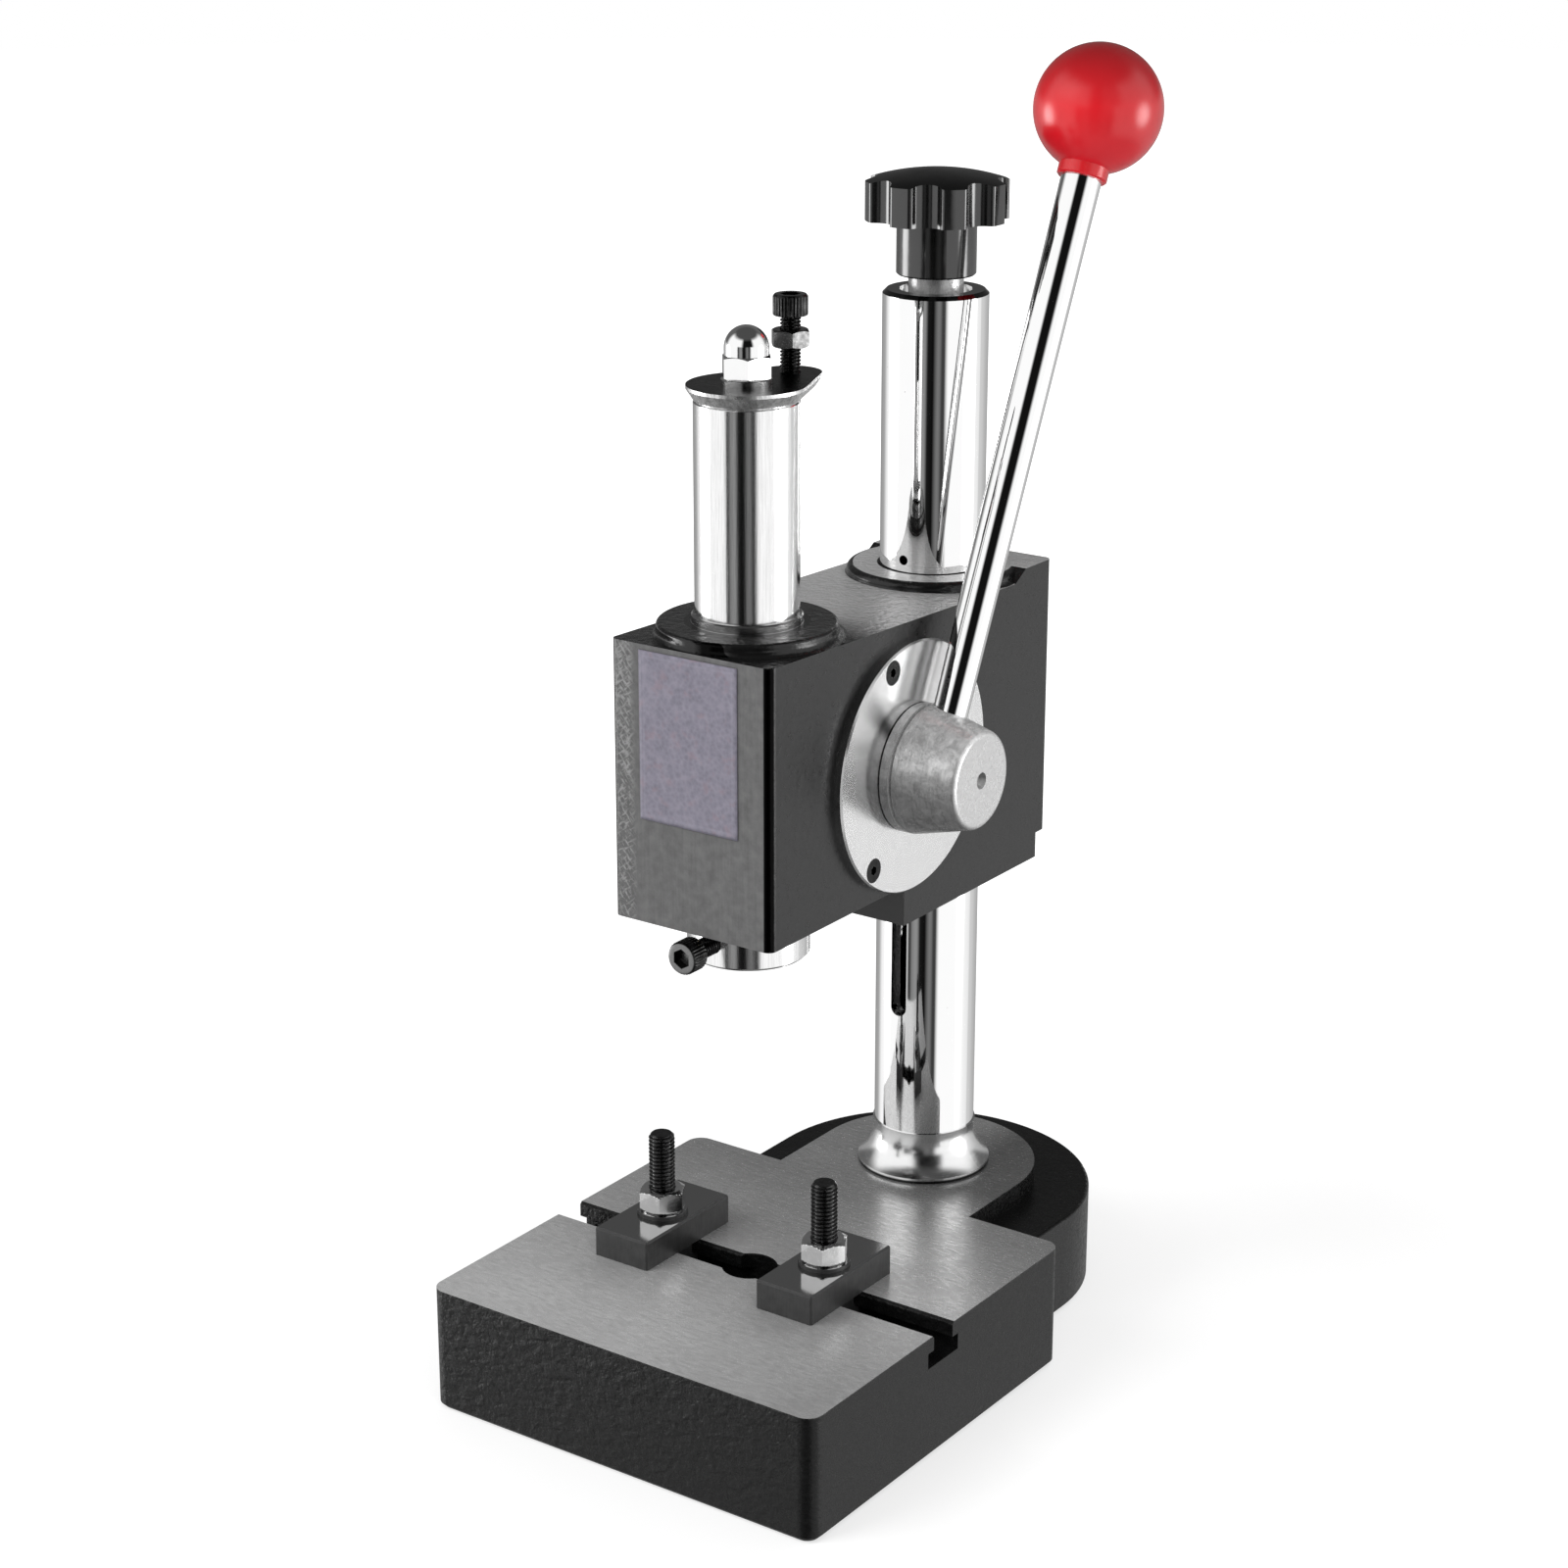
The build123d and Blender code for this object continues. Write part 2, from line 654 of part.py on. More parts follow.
def pinion_shaft():
    """The turned hub and its shaft in one piece, with a keyway for the pinion."""
    collar_end = hub_collar_length
    groove_end = hub_collar_length + hub_groove_width
    outline = Polyline(
        (0, 0), (0, hub_d / 2), (collar_end, hub_d / 2), (collar_end, hub_d / 2 - hub_groove_depth),
        (groove_end, hub_d / 2 - hub_groove_depth), (groove_end, hub_d / 2), (hub_length, hub_end_d / 2),
        (hub_length, 0), close=True)
    hub = revolve(make_face(outline), Axis.X)
    hub = fillet(hub.edges().filter_by(GeomType.CIRCLE).group_by(Axis.X)[-1], hub_edge_r)
    hub = Pos(hub_face, pinion_y, pinion_z) * hub
    shaft_end = -head_side - loose_fit
    hub += cross(shaft_r, shaft_end, hub_face + 1, pinion_y, pinion_z)
    hub_end = hub_face + hub_length
    hub -= cross(hub_centre_d / 2, hub_end - hub_centre_depth, hub_end + 1, pinion_y, pinion_z)
    hub -= cross(end_screw_d / 2, shaft_end - 1, shaft_end + end_screw_length - end_washer_thickness,
                 pinion_y, pinion_z)
    hub -= pinion_key_blank(key_length)
    rod_hole = upright(rod_thread_d / 2, rod_thread_foot(), hub_d)
    spot = upright(rod_root_d / 2 + rod_spot_gap, rod_shoulder(), hub_d)
    return hub - lever_frame() * (rod_hole + spot)


def rod_shoulder():
    """Distance from the shaft axis to the rod's lower shoulder."""
    return hub_radius_at(lever_plane) - rod_spot_depth


def rod_thread_foot():
    """Distance from the shaft axis to the end of the rod's screwed stub."""
    return rod_shoulder() - rod_thread_length


def pinion_key_blank(length):
    """The key, half in the shaft and half in the pinion, opposite the rack."""
    return Pos(0, pinion_y, pinion_z + shaft_r) * Box(length, key_width, key_height)


def tooth_flank(half_angle, side):
    """Points of one involute flank, evenly spaced in radius from the base circle to the tip."""
    base_r = pitch_r * cos(radians(pressure_angle))
    pitch_involute = tan(radians(pressure_angle)) - radians(pressure_angle)
    points = []
    for step in range(flank_points):
        radius = base_r + (pinion_tip_r - base_r) * step / (flank_points - 1)
        roll = acos(min(1, base_r / radius))
        angle = side * (half_angle + pitch_involute - (tan(roll) - roll))
        points.append((radius * cos(angle), radius * sin(angle)))
    return points


def pinion_gear():
    """An involute spur pinion with a tooth facing the rack at rest."""
    root_r = pitch_r - dedendum_factor * gear_module
    half_angle = (tooth_pitch / 2 - gear_backlash) / (2 * pitch_r)
    lower = tooth_flank(half_angle, -1)
    upper = tooth_flank(half_angle, 1)
    base_angle = half_angle + tan(radians(pressure_angle)) - radians(pressure_angle)
    inner = root_r * 0.97
    start = (inner * cos(base_angle), -inner * sin(base_angle))
    finish = (inner * cos(base_angle), inner * sin(base_angle))
    outline = Line(start, lower[0]) + Spline(*lower) + Line(lower[-1], upper[-1])
    outline += Spline(*reversed(upper)) + Line(upper[0], finish) + Line(finish, start)
    tooth = make_face(outline)
    disc = Circle(root_r)
    teeth = [Rot(0, 0, number * 360 / pinion_teeth) * tooth for number in range(pinion_teeth)]
    disc = disc + teeth
    gear = extrude(disc, pinion_face / 2, both=True)
    gear = Plane(origin=(0, pinion_y, pinion_z), x_dir=(0, 1, 0), z_dir=(1, 0, 0)) * gear
    gear -= cross(shaft_r, -pinion_face, pinion_face, pinion_y, pinion_z)
    keyway = Pos(0, pinion_y, pinion_z + shaft_r) * Box(2 * pinion_face, key_width, key_height)
    return gear - keyway


def end_washer():
    right = -head_side - loose_fit
    washer = cross(end_washer_d / 2, right - end_washer_thickness, right, pinion_y, pinion_z)
    return washer - cross(end_screw_d / 2, right - end_washer_thickness - 1, right + 1, pinion_y, pinion_z)


def end_screw():
    screw = cap_screw(end_screw_d, end_screw_length, end_screw_head_d, end_screw_head_height,
                      end_screw_socket)
    left = -head_side - loose_fit - end_washer_thickness
    return Plane(origin=(left, pinion_y, pinion_z), x_dir=(0, 1, 0), z_dir=(-1, 0, 0)) * screw


def rod_top():
    """The rod's upper shoulder, where the ball's neck starts."""
    return lever_length - ball_d / 2 - ball_neck_length


def lever_rod():
    """The tapered lever with a screwed stub at each end."""
    low = rod_shoulder()
    high = rod_top()
    body = Pos(0, 0, (low + high) / 2) * Cone(rod_root_d / 2, rod_tip_d / 2, high - low)
    stubs = upright(rod_thread_d / 2, rod_thread_foot(), high + rod_tip_thread_length)
    return lever_frame() * (body + stubs)


def ball_knob():
    sphere = Pos(0, 0, lever_length) * Sphere(ball_d / 2)
    neck_low = rod_top()
    neck = upright(ball_neck_d / 2, neck_low, lever_length)
    neck = chamfer(neck.edges().group_by(Axis.Z)[0], ball_neck_chamfer)
    bore = upright(rod_thread_d / 2, neck_low - 1, neck_low + rod_tip_thread_length)
    return lever_frame() * (sphere + neck - bore)


def ram():
    """The round ram: collar and tool bore below, rack behind, spring bore and pin slot inside."""
    body = upright(ram_r, ram_foot, ram_top)
    body = chamfer(body.edges().group_by(Axis.Z)[-1], ram_edge_chamfer)
    collar_top = ram_foot + ram_collar_height
    collar = upright(ram_collar_d / 2, ram_foot, collar_top)
    collar = chamfer(collar.edges(), ram_edge_chamfer)
    body += collar
    body -= rack_cut()
    slot_low = cross_pin_z - cross_pin_d / 2 - loose_fit
    slot_high = cross_pin_z + stroke + cross_pin_d / 2 + loose_fit
    width = cross_pin_d + 2 * loose_fit
    pin_slot = Pos(0, 0, (slot_low + slot_high) / 2) * Rot(0, 90, 0) * extrude(
        SlotOverall(slot_high - slot_low, width), ram_d, both=True)
    body -= pin_slot
    body -= upright(spring_bore_d / 2, slot_low, ram_top + 1)
    body -= upright(tool_bore_d / 2, ram_foot - 1, ram_foot + tool_bore_depth)
    body -= along_y(tool_screw_d / 2, -ram_collar_d, 0, 0, ram_foot + tool_screw_rise)
    return body


def rack_cut():
    """The flat and the gullets between the rack's teeth, centred on the pinion's teeth."""
    reach = sqrt(pinion_tip_r ** 2 - (pinion_y - rack_tip) ** 2)
    below = ceil((reach - tooth_pitch / 4) / tooth_pitch)
    above = ceil((stroke + reach - tooth_pitch / 4) / tooth_pitch)
    slope = tan(radians(pressure_angle))
    pitch_half = tooth_pitch / 4 + gear_backlash / 2
    outer = ram_r + 1
    mouth = pitch_half + (outer - rack_pitch_line) * slope
    bottom = pitch_half - (rack_pitch_line - rack_root) * slope
    gullet = Polyline((rack_root, -bottom), (outer, -mouth), (outer, mouth), (rack_root, bottom), close=True)
    gullet = extrude(Plane.YZ * make_face(gullet), ram_d, both=True)
    low = pinion_z - (below + 0.5) * tooth_pitch
    high = pinion_z + (above + 0.5) * tooth_pitch
    cut = Pos(0, (rack_tip + outer) / 2, (low + high) / 2) * Box(2 * ram_d, outer - rack_tip, high - low)
    for number in range(-below, above + 1):
        cut += Pos(0, 0, pinion_z + number * tooth_pitch) * gullet
    return cut


def cross_pin():
    return cross(cross_pin_d / 2, -head_side, bush_r + cross_pin_grip, 0, cross_pin_z)


def spring_seat():
    """A disc that straddles the cross pin with a shallow groove."""
    low = cross_pin_z + cross_pin_d / 2 - spring_seat_groove
    return upright(spring_bore_d / 2 - loose_fit, low, seat_top) - cross_pin()


def return_spring():
    """An open coil of flat wire between the seat and the plug."""
    low = seat_top + seat_gap + spring_wire_height / 2
    high = plug_foot - seat_gap - spring_wire_height / 2
    coil_r = spring_bore_d / 2 - loose_fit - spring_wire_width / 2
    path = Pos(0, 0, low) * Helix(pitch=(high - low) / spring_turns, height=high - low, radius=coil_r)
    start = path @ 0
    section = Plane(origin=start, x_dir=(1, 0, 0), z_dir=(0, 1, 0)) * Rectangle(
        spring_wire_width, spring_wire_height)
    return sweep(section, path=path, is_frenet=True)


def ram_plug():
    """The plug in the ram's top, with the stud for the stop plate."""
    stud_top = plate_top + washer_thickness + acorn_bore_depth
    plug = upright(spring_bore_d / 2, plug_foot, ram_top)
    return plug + upright(stud_d / 2, ram_top - 1, stud_top)


def stop_plate():
    """A teardrop plate, bevelled towards its underside."""
    front = Circle(plate_r)
    lobe = Pos(0, stop_offset) * Circle(plate_lobe_r)
    outline = make_hull(front.edges() + lobe.edges())
    plate = extrude(Pos(0, 0, ram_top) * outline, plate_thickness)
    plate = chamfer(plate.edges().group_by(Axis.Z)[0], plate_bevel_height, plate_bevel)
    plate -= upright(stud_d / 2, ram_top - 1, plate_top + 1)
    return plate - upright(stop_screw_d / 2 + running_fit, ram_top - 1, plate_top + 1, y=stop_offset)


def spring_washer():
    washer = upright(washer_d / 2, plate_top, plate_top + washer_thickness)
    return washer - upright(stud_d / 2, plate_top - 1, plate_top + washer_thickness + 1)


def acorn_nut():
    """A domed cap nut: hexagon below, hemispherical dome above."""
    dome_r = acorn_across_flats / 2 - acorn_dome_inset
    nut = hex_nut(acorn_across_flats, acorn_hex_height, stud_d / 2, turn=10)
    dome = upright(dome_r, 0, acorn_height - dome_r) + Pos(0, 0, acorn_height - dome_r) * Sphere(dome_r)
    dome -= upright(stud_d / 2, -dome_r, acorn_bore_depth)
    dome -= upright(acorn_across_flats, -2 * dome_r, acorn_hex_height - 1)
    return Pos(0, 0, plate_top + washer_thickness) * (nut + dome)


def stop_screw():
    screw = cap_screw(stop_screw_d, stop_screw_length, stop_head_d, stop_head_height, stop_socket)
    return Pos(0, stop_offset, plate_top + stop_screw_set) * screw


def stop_lock_nut():
    nut = hex_nut(lock_nut_across_flats, lock_nut_thickness, stop_screw_d / 2, turn=12)
    low = plate_top + stop_screw_set - lock_nut_drop - lock_nut_thickness
    return Pos(0, stop_offset, low) * nut


def tool_clamp_screw():
    shank_d = tool_screw_d - 2 * running_fit
    screw = cap_screw(shank_d, tool_screw_length, tool_head_d, tool_head_height, tool_socket)
    front = -ram_collar_d / 2 - tool_screw_stand_off
    return Plane(origin=(0, front, ram_foot + tool_screw_rise), x_dir=(1, 0, 0), z_dir=(0, -1, 0)) * screw


def clamp_bar(x):
    low = table_height + seat_gap
    bar = Pos(x, 0, low + clamp_height / 2) * Box(clamp_width, clamp_length, clamp_height)
    bar = chamfer(bar.edges().group_by(Axis.Z)[-1] + bar.edges().filter_by(Axis.Z), clamp_chamfer)
    return bar - upright(stud_d / 2 + clamp_fit, low - 1, low + clamp_height + 1, x=x)


def tee_nut(x):
    """A tee-shaped block that pulls up under the slot's shoulders."""
    base_top = table_height - slot_throat - seat_gap
    base = Pos(x, 0, base_top - tee_nut_base / 2) * Box(
        tee_nut_length, tee_width - 2 * tee_play, tee_nut_base)
    neck = Pos(x, 0, base_top + tee_nut_neck / 2) * Box(
        tee_nut_length, slot_width - 2 * tee_play, tee_nut_neck)
    block = base + neck
    return block - upright(stud_d / 2, 0, table_height, x=x)


def clamp_stud(x):
    low = table_height - slot_throat - seat_gap - tee_nut_base
    stud = upright(stud_d / 2, low, clamp_stud_top, x=x)
    return chamfer(stud.edges().group_by(Axis.Z)[-1], clamp_stud_chamfer)


def clamp_washer_foot():
    """Height of the washer's underside, just clear of the bar that swivels below it."""
    return table_height + 2 * seat_gap + clamp_height


def clamp_washer(x):
    low = clamp_washer_foot()
    washer = upright(clamp_washer_d / 2, low, low + clamp_washer_thickness, x=x)
    return washer - upright(stud_d / 2, low - 1, low + clamp_washer_thickness + 1, x=x)


def clamp_nut(x, turn):
    low = clamp_washer_foot() + clamp_washer_thickness
    nut = hex_nut(clamp_nut_across_flats, clamp_nut_height, stud_d / 2, turn)
    return Pos(x, 0, low) * nut


os.makedirs("parts", exist_ok=True)

save(base_casting(), "base_casting")
save(column(), "column")
save(column_foot(), "column_foot")
save(column_cap(), "column_cap")
save(column_bolt(), "column_bolt")
save(column_washer(), "column_washer")
save(height_screw(), "height_screw")
save(height_screw_clip(), "height_screw_clip")
save(star_knob(), "star_knob")
save(travel_nut(), "travelling_nut")
save(guide_screw(), "guide_screw")
save(head_casting(), "head_casting")
save(upper_ram_bush(), "upper_ram_bush")
save(lower_ram_bush(), "lower_ram_bush")
save(head_lock_screws(), "head_lock_screws")
save(lock_pads(), "lock_pads")
save(bearing_flange(), "bearing_flange")
save(flange_screws(), "flange_screws")
flange_bush, wall_bush = shaft_bushes()
save(flange_bush, "flange_shaft_bush")
save(wall_bush, "wall_shaft_bush")
save(pinion_shaft(), "pinion_shaft")
save(pinion_gear(), "pinion_gear")
save(pinion_key_blank(key_length), "pinion_key")
save(end_washer(), "shaft_end_washer")
save(end_screw(), "shaft_end_screw")
save(lever_rod(), "lever_rod")
save(ball_knob(), "ball_knob")
save(ram(), "ram")
save(cross_pin(), "cross_pin")
save(spring_seat(), "spring_seat")
save(return_spring(), "return_spring")
save(ram_plug(), "ram_plug")
save(stop_plate(), "stop_plate")
save(spring_washer(), "acorn_washer")
save(acorn_nut(), "acorn_nut")
save(stop_screw(), "stop_screw")
save(stop_lock_nut(), "stop_lock_nut")
save(tool_clamp_screw(), "tool_clamp_screw")
for side, place in clamp_places.items():
    save(clamp_bar(place), "clamp_bar_" + side)
    save(tee_nut(place), "tee_nut_" + side)
    save(clamp_stud(place), "clamp_stud_" + side)
    save(clamp_washer(place), "clamp_washer_" + side)
    save(clamp_nut(place, turn=place), "clamp_nut_" + side)
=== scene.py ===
import json

import bpy
import numpy as np
from mathutils import Matrix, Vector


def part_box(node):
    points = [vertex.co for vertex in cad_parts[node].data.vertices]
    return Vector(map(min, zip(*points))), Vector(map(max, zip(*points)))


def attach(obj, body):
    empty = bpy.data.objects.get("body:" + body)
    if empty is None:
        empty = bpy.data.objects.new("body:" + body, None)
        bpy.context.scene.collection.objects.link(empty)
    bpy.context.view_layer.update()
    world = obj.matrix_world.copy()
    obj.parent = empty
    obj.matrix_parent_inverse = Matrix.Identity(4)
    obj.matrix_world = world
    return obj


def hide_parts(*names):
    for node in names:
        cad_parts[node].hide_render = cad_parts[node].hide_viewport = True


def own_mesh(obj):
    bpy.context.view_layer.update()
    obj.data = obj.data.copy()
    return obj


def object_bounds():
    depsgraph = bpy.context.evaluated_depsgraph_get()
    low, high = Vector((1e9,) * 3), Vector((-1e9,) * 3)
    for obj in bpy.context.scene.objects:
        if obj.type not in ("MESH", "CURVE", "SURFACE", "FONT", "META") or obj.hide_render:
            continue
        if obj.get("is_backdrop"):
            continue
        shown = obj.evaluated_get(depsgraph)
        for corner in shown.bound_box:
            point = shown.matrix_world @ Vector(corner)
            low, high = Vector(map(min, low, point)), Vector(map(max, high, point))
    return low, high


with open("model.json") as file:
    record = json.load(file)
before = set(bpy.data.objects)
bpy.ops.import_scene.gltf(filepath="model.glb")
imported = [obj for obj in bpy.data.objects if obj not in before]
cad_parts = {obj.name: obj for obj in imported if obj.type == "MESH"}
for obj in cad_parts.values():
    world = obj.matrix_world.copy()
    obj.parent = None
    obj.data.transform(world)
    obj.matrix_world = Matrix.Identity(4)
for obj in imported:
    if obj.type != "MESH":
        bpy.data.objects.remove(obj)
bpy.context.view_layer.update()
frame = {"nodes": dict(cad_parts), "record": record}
nodes = frame["nodes"]


def addNode(tree, kind, **values):
    # a new node with its plain properties set
    node = tree.nodes.new(kind)
    for key, value in values.items():
        setattr(node, key, value)
    return node


def wire(tree, value, socket):
    # a socket is linked, a plain value is written
    if isinstance(value, bpy.types.NodeSocket):
        tree.links.new(value, socket)
    else:
        socket.default_value = value


def calc(tree, operation, first, second=0.0):
    node = addNode(tree, "ShaderNodeMath", operation=operation)
    wire(tree, first, node.inputs[0])
    wire(tree, second, node.inputs[1])
    return node.outputs[0]


def times(tree, *values):
    product = values[0]
    for value in values[1:]:
        product = calc(tree, "MULTIPLY", product, value)
    return product


def plus(tree, *values):
    total = values[0]
    for value in values[1:]:
        total = calc(tree, "ADD", total, value)
    return total


def rest(tree, share):
    # what a share leaves of 1
    return calc(tree, "SUBTRACT", 1.0, share)


def weighed(tree, *parts):
    # the sum of each value times its weight
    return plus(tree, *[times(tree, value, weight) for value, weight in parts])


def distance(tree, first, second):
    # the root of the sum of two squares
    return calc(tree, "SQRT", plus(tree, times(tree, first, first), times(tree, second, second)))


def grey(level):
    return (level, level, level, 1.0)


def blend(tree, share, first, second):
    # share 0 gives the first colour, share 1 the second
    node = addNode(tree, "ShaderNodeMix", data_type="RGBA")
    wire(tree, share, node.inputs[0])
    wire(tree, first, node.inputs[6])
    wire(tree, second, node.inputs[7])
    return node.outputs[2]


def greys(tree, share, low, high):
    return blend(tree, share, grey(low), grey(high))


def spread(tree, value, low, high, toLow=0.0, toHigh=1.0, smooth=False):
    # low..high of the value is stretched to toLow..toHigh
    node = addNode(tree, "ShaderNodeMapRange", clamp=True)
    if smooth:
        node.interpolation_type = "SMOOTHSTEP"
    for socket, number in zip(node.inputs, (value, low, high, toLow, toHigh)):
        wire(tree, number, socket)
    return node.outputs[0]


evenly = (1.0, 1.0, 1.0)
unturned = (0.0, 0.0, 0.0)


def place(tree, stretch=evenly, turn=unturned):
    # the piece's own coordinates in metres, stretched and turned
    coordinate = addNode(tree, "ShaderNodeTexCoord")
    mapping = addNode(tree, "ShaderNodeMapping")
    tree.links.new(coordinate.outputs["Object"], mapping.inputs["Vector"])
    mapping.inputs["Rotation"].default_value = turn
    mapping.inputs["Scale"].default_value = stretch
    return mapping.outputs[0]


def axes(tree):
    # x, y and z of the piece's own coordinates
    split = addNode(tree, "ShaderNodeSeparateXYZ")
    tree.links.new(place(tree), split.inputs[0])
    return split.outputs


def facing(tree):
    # x, y and z of the surface's normal
    split = addNode(tree, "ShaderNodeSeparateXYZ")
    tree.links.new(addNode(tree, "ShaderNodeNewGeometry").outputs["Normal"], split.inputs[0])
    return split.outputs


def noise(tree, size, detail, roughness, stretch=evenly, turn=unturned, warp=0.0):
    # cloud noise with grains of about the given size in metres
    node = addNode(tree, "ShaderNodeTexNoise")
    tree.links.new(place(tree, stretch, turn), node.inputs["Vector"])
    node.inputs["Scale"].default_value = 1.0 / size
    node.inputs["Detail"].default_value = detail
    node.inputs["Roughness"].default_value = roughness
    node.inputs["Distortion"].default_value = warp
    return node.outputs["Fac"]


def cells(tree, size, stretch=evenly, turn=unturned):
    # distance to the nearest of scattered points about the given size apart
    node = addNode(tree, "ShaderNodeTexVoronoi")
    tree.links.new(place(tree, stretch, turn), node.inputs["Vector"])
    node.inputs["Scale"].default_value = 1.0 / size
    return node.outputs["Distance"]


def relief(tree, height, depth, strength=1.0, base=None):
    # a bump of the given depth in metres
    node = addNode(tree, "ShaderNodeBump")
    wire(tree, height, node.inputs["Height"])
    node.inputs["Distance"].default_value = depth
    node.inputs["Strength"].default_value = strength
    if base is not None:
        tree.links.new(base, node.inputs["Normal"])
    return node.outputs[0]


wearLook = {"samples": 6, "flat": 0.995, "sharp": 0.80}


def edgeWear(tree, radius):
    # 0 on flat stretches, rising to 1 within the radius of a sharp edge
    bevel = addNode(tree, "ShaderNodeBevel", samples=wearLook["samples"])
    bevel.inputs["Radius"].default_value = radius
    dot = addNode(tree, "ShaderNodeVectorMath", operation="DOT_PRODUCT")
    tree.links.new(bevel.outputs[0], dot.inputs[0])
    tree.links.new(addNode(tree, "ShaderNodeNewGeometry").outputs["Normal"], dot.inputs[1])
    return spread(tree, dot.outputs["Value"], wearLook["flat"], wearLook["sharp"])


def finish(name, metal=0.0, ior=None, coat=0.0, coatRoughness=0.05, specular=0.5):
    # a material with one Principled shader; sockets that vary are wired by the caller
    material = bpy.data.materials.new(name)
    material.use_nodes = True
    tree = material.node_tree
    tree.nodes.clear()
    output = addNode(tree, "ShaderNodeOutputMaterial")
    shader = addNode(tree, "ShaderNodeBsdfPrincipled")
    tree.links.new(shader.outputs[0], output.inputs[0])
    shader.inputs["Metallic"].default_value = metal
    if ior is not None:
        shader.inputs["IOR"].default_value = ior
    shader.inputs["Coat Weight"].default_value = coat
    shader.inputs["Coat Roughness"].default_value = coatRoughness
    shader.inputs["Specular IOR Level"].default_value = specular
    return material, tree, shader.inputs


def wireFinish(tree, sockets, colour, rough, bump):
    # the three sockets that every finish sets
    wire(tree, colour, sockets["Base Color"])
    wire(tree, rough, sockets["Roughness"])
    wire(tree, bump, sockets["Normal"])


# where most of a cloud noise lies, and most of a mix of several
noiseSpan = {"wide": (0.3, 0.7), "middle": (0.35, 0.65), "narrow": (0.36, 0.64)}

basePaint = {"paint": 0.0045, "lift": 0.014, "chipped": 0.10, "ior": 1.33, "rough": (0.20, 0.42),
             "lumpSize": 0.0042, "peelSize": 0.0013, "chipSize": 0.0016, "edge": 0.0012,
             "rim": (0.0372, 0.0385), "leastCast": 0.18, "castDepth": 0.0011}
baseSteel = {"from": 0.03925, "level": 0.78, "metal": (0.46, 0.86), "rough": (0.34, 0.22),
             "grainSize": 0.00040, "fleckSize": 0.0012, "cloudSize": 0.030, "scratchSize": 0.016,
             "depth": 0.00004,
             # painted shade: brightness from front to back, and what is lost at the right and beside the
             # column, standing in for the shade of the head above the steel
             "back": (0.90, 0.98), "right": 0.30, "paintedShadeBeside": 0.50}


def baseFinish():
    # black gloss over a cast skin; ground steel above the machined height
    material, tree, sockets = finish("castBlack", ior=basePaint["ior"])
    x, y, z = axes(tree)
    _, ny, nz = facing(tree)
    top = times(tree, calc(tree, "GREATER_THAN", z, baseSteel["from"]), calc(tree, "GREATER_THAN", nz, 0.9))
    painted = rest(tree, top)
    # the front is cast rougher towards its upper left
    upLeft = plus(tree, z, times(tree, x, -0.30))
    rough = times(tree, spread(tree, ny, -0.5, -0.9), spread(tree, upLeft, -0.012, 0.052, 0.25, 1.0))
    rough = calc(tree, "MAXIMUM", rough, basePaint["leastCast"])
    lump = noise(tree, basePaint["lumpSize"], 4.0, 0.55, stretch=(1.0, 1.0, 1.5), warp=0.5)
    peel = noise(tree, basePaint["peelSize"], 4.0, 0.65)
    chips = spread(tree, noise(tree, basePaint["chipSize"], 5.0, 0.75), 0.46, 0.58)
    rim = times(tree, edgeWear(tree, basePaint["edge"]), chips, spread(tree, z, *basePaint["rim"]))
    ridge = times(tree, spread(tree, lump, 0.50, 0.72), rough)
    paintColour = greys(tree, times(tree, ridge, 0.8), basePaint["paint"], basePaint["lift"])
    paintColour = blend(tree, times(tree, rim, 0.7), paintColour, grey(basePaint["chipped"]))

    grain = noise(tree, baseSteel["grainSize"], 5.0, 0.7, stretch=(0.10, 1.0, 1.0), turn=(0, 0, 0.06))
    fleck = noise(tree, baseSteel["fleckSize"], 3.0, 0.6, stretch=(0.35, 1.0, 1.0), turn=(0, 0, 0.3))
    cloud = noise(tree, baseSteel["cloudSize"], 4.0, 0.6)
    scratch = cells(tree, baseSteel["scratchSize"], stretch=(1.0, 0.10, 1.0), turn=(0, 0, -0.5))
    scratch = spread(tree, scratch, 0.020, 0.008)
    tone = weighed(tree, (grain, 0.40), (cloud, 0.20), (fleck, 0.40))
    steelColour = greys(tree, spread(tree, tone, *noiseSpan["narrow"]), baseSteel["level"] * 0.74,
                        baseSteel["level"] * 1.08)
    steelColour = blend(tree, times(tree, scratch, 0.5), steelColour, grey(1.0))
    # painted shade: the steel is painted darker towards the back and the right, most beside the column, for
    # the shade of the head above it
    back = spread(tree, y, -0.060, 0.095, *baseSteel["back"])
    right = times(tree, spread(tree, x, 0.0, 0.06), spread(tree, y, 0.02, -0.05, 0.0, baseSteel["right"]))
    paintedShadeBeside = times(tree, spread(tree, x, 0.004, 0.018),
                   spread(tree, y, 0.066, 0.084, 0.0, baseSteel["paintedShadeBeside"]))
    paintedLitShare = times(tree, back, times(tree, rest(tree, right), rest(tree, paintedShadeBeside)))
    steelColour = blend(tree, paintedLitShare, grey(0.0), steelColour)

    steelRough = spread(tree, tone, *noiseSpan["narrow"], *baseSteel["rough"])
    paintRough = spread(tree, peel, *noiseSpan["middle"], *basePaint["rough"])
    cast = times(tree, plus(tree, lump, times(tree, peel, 0.45)), times(tree, painted, rough))
    skin = relief(tree, cast, basePaint["castDepth"], 0.75)
    ground = relief(tree, times(tree, plus(tree, grain, fleck), top), baseSteel["depth"], 0.6, skin)
    wire(tree, times(tree, top, spread(tree, y, -0.050, 0.060, *baseSteel["metal"])), sockets["Metallic"])
    wireFinish(tree, sockets, blend(tree, top, paintColour, steelColour),
               weighed(tree, (top, steelRough), (painted, paintRough)), ground)
    return material


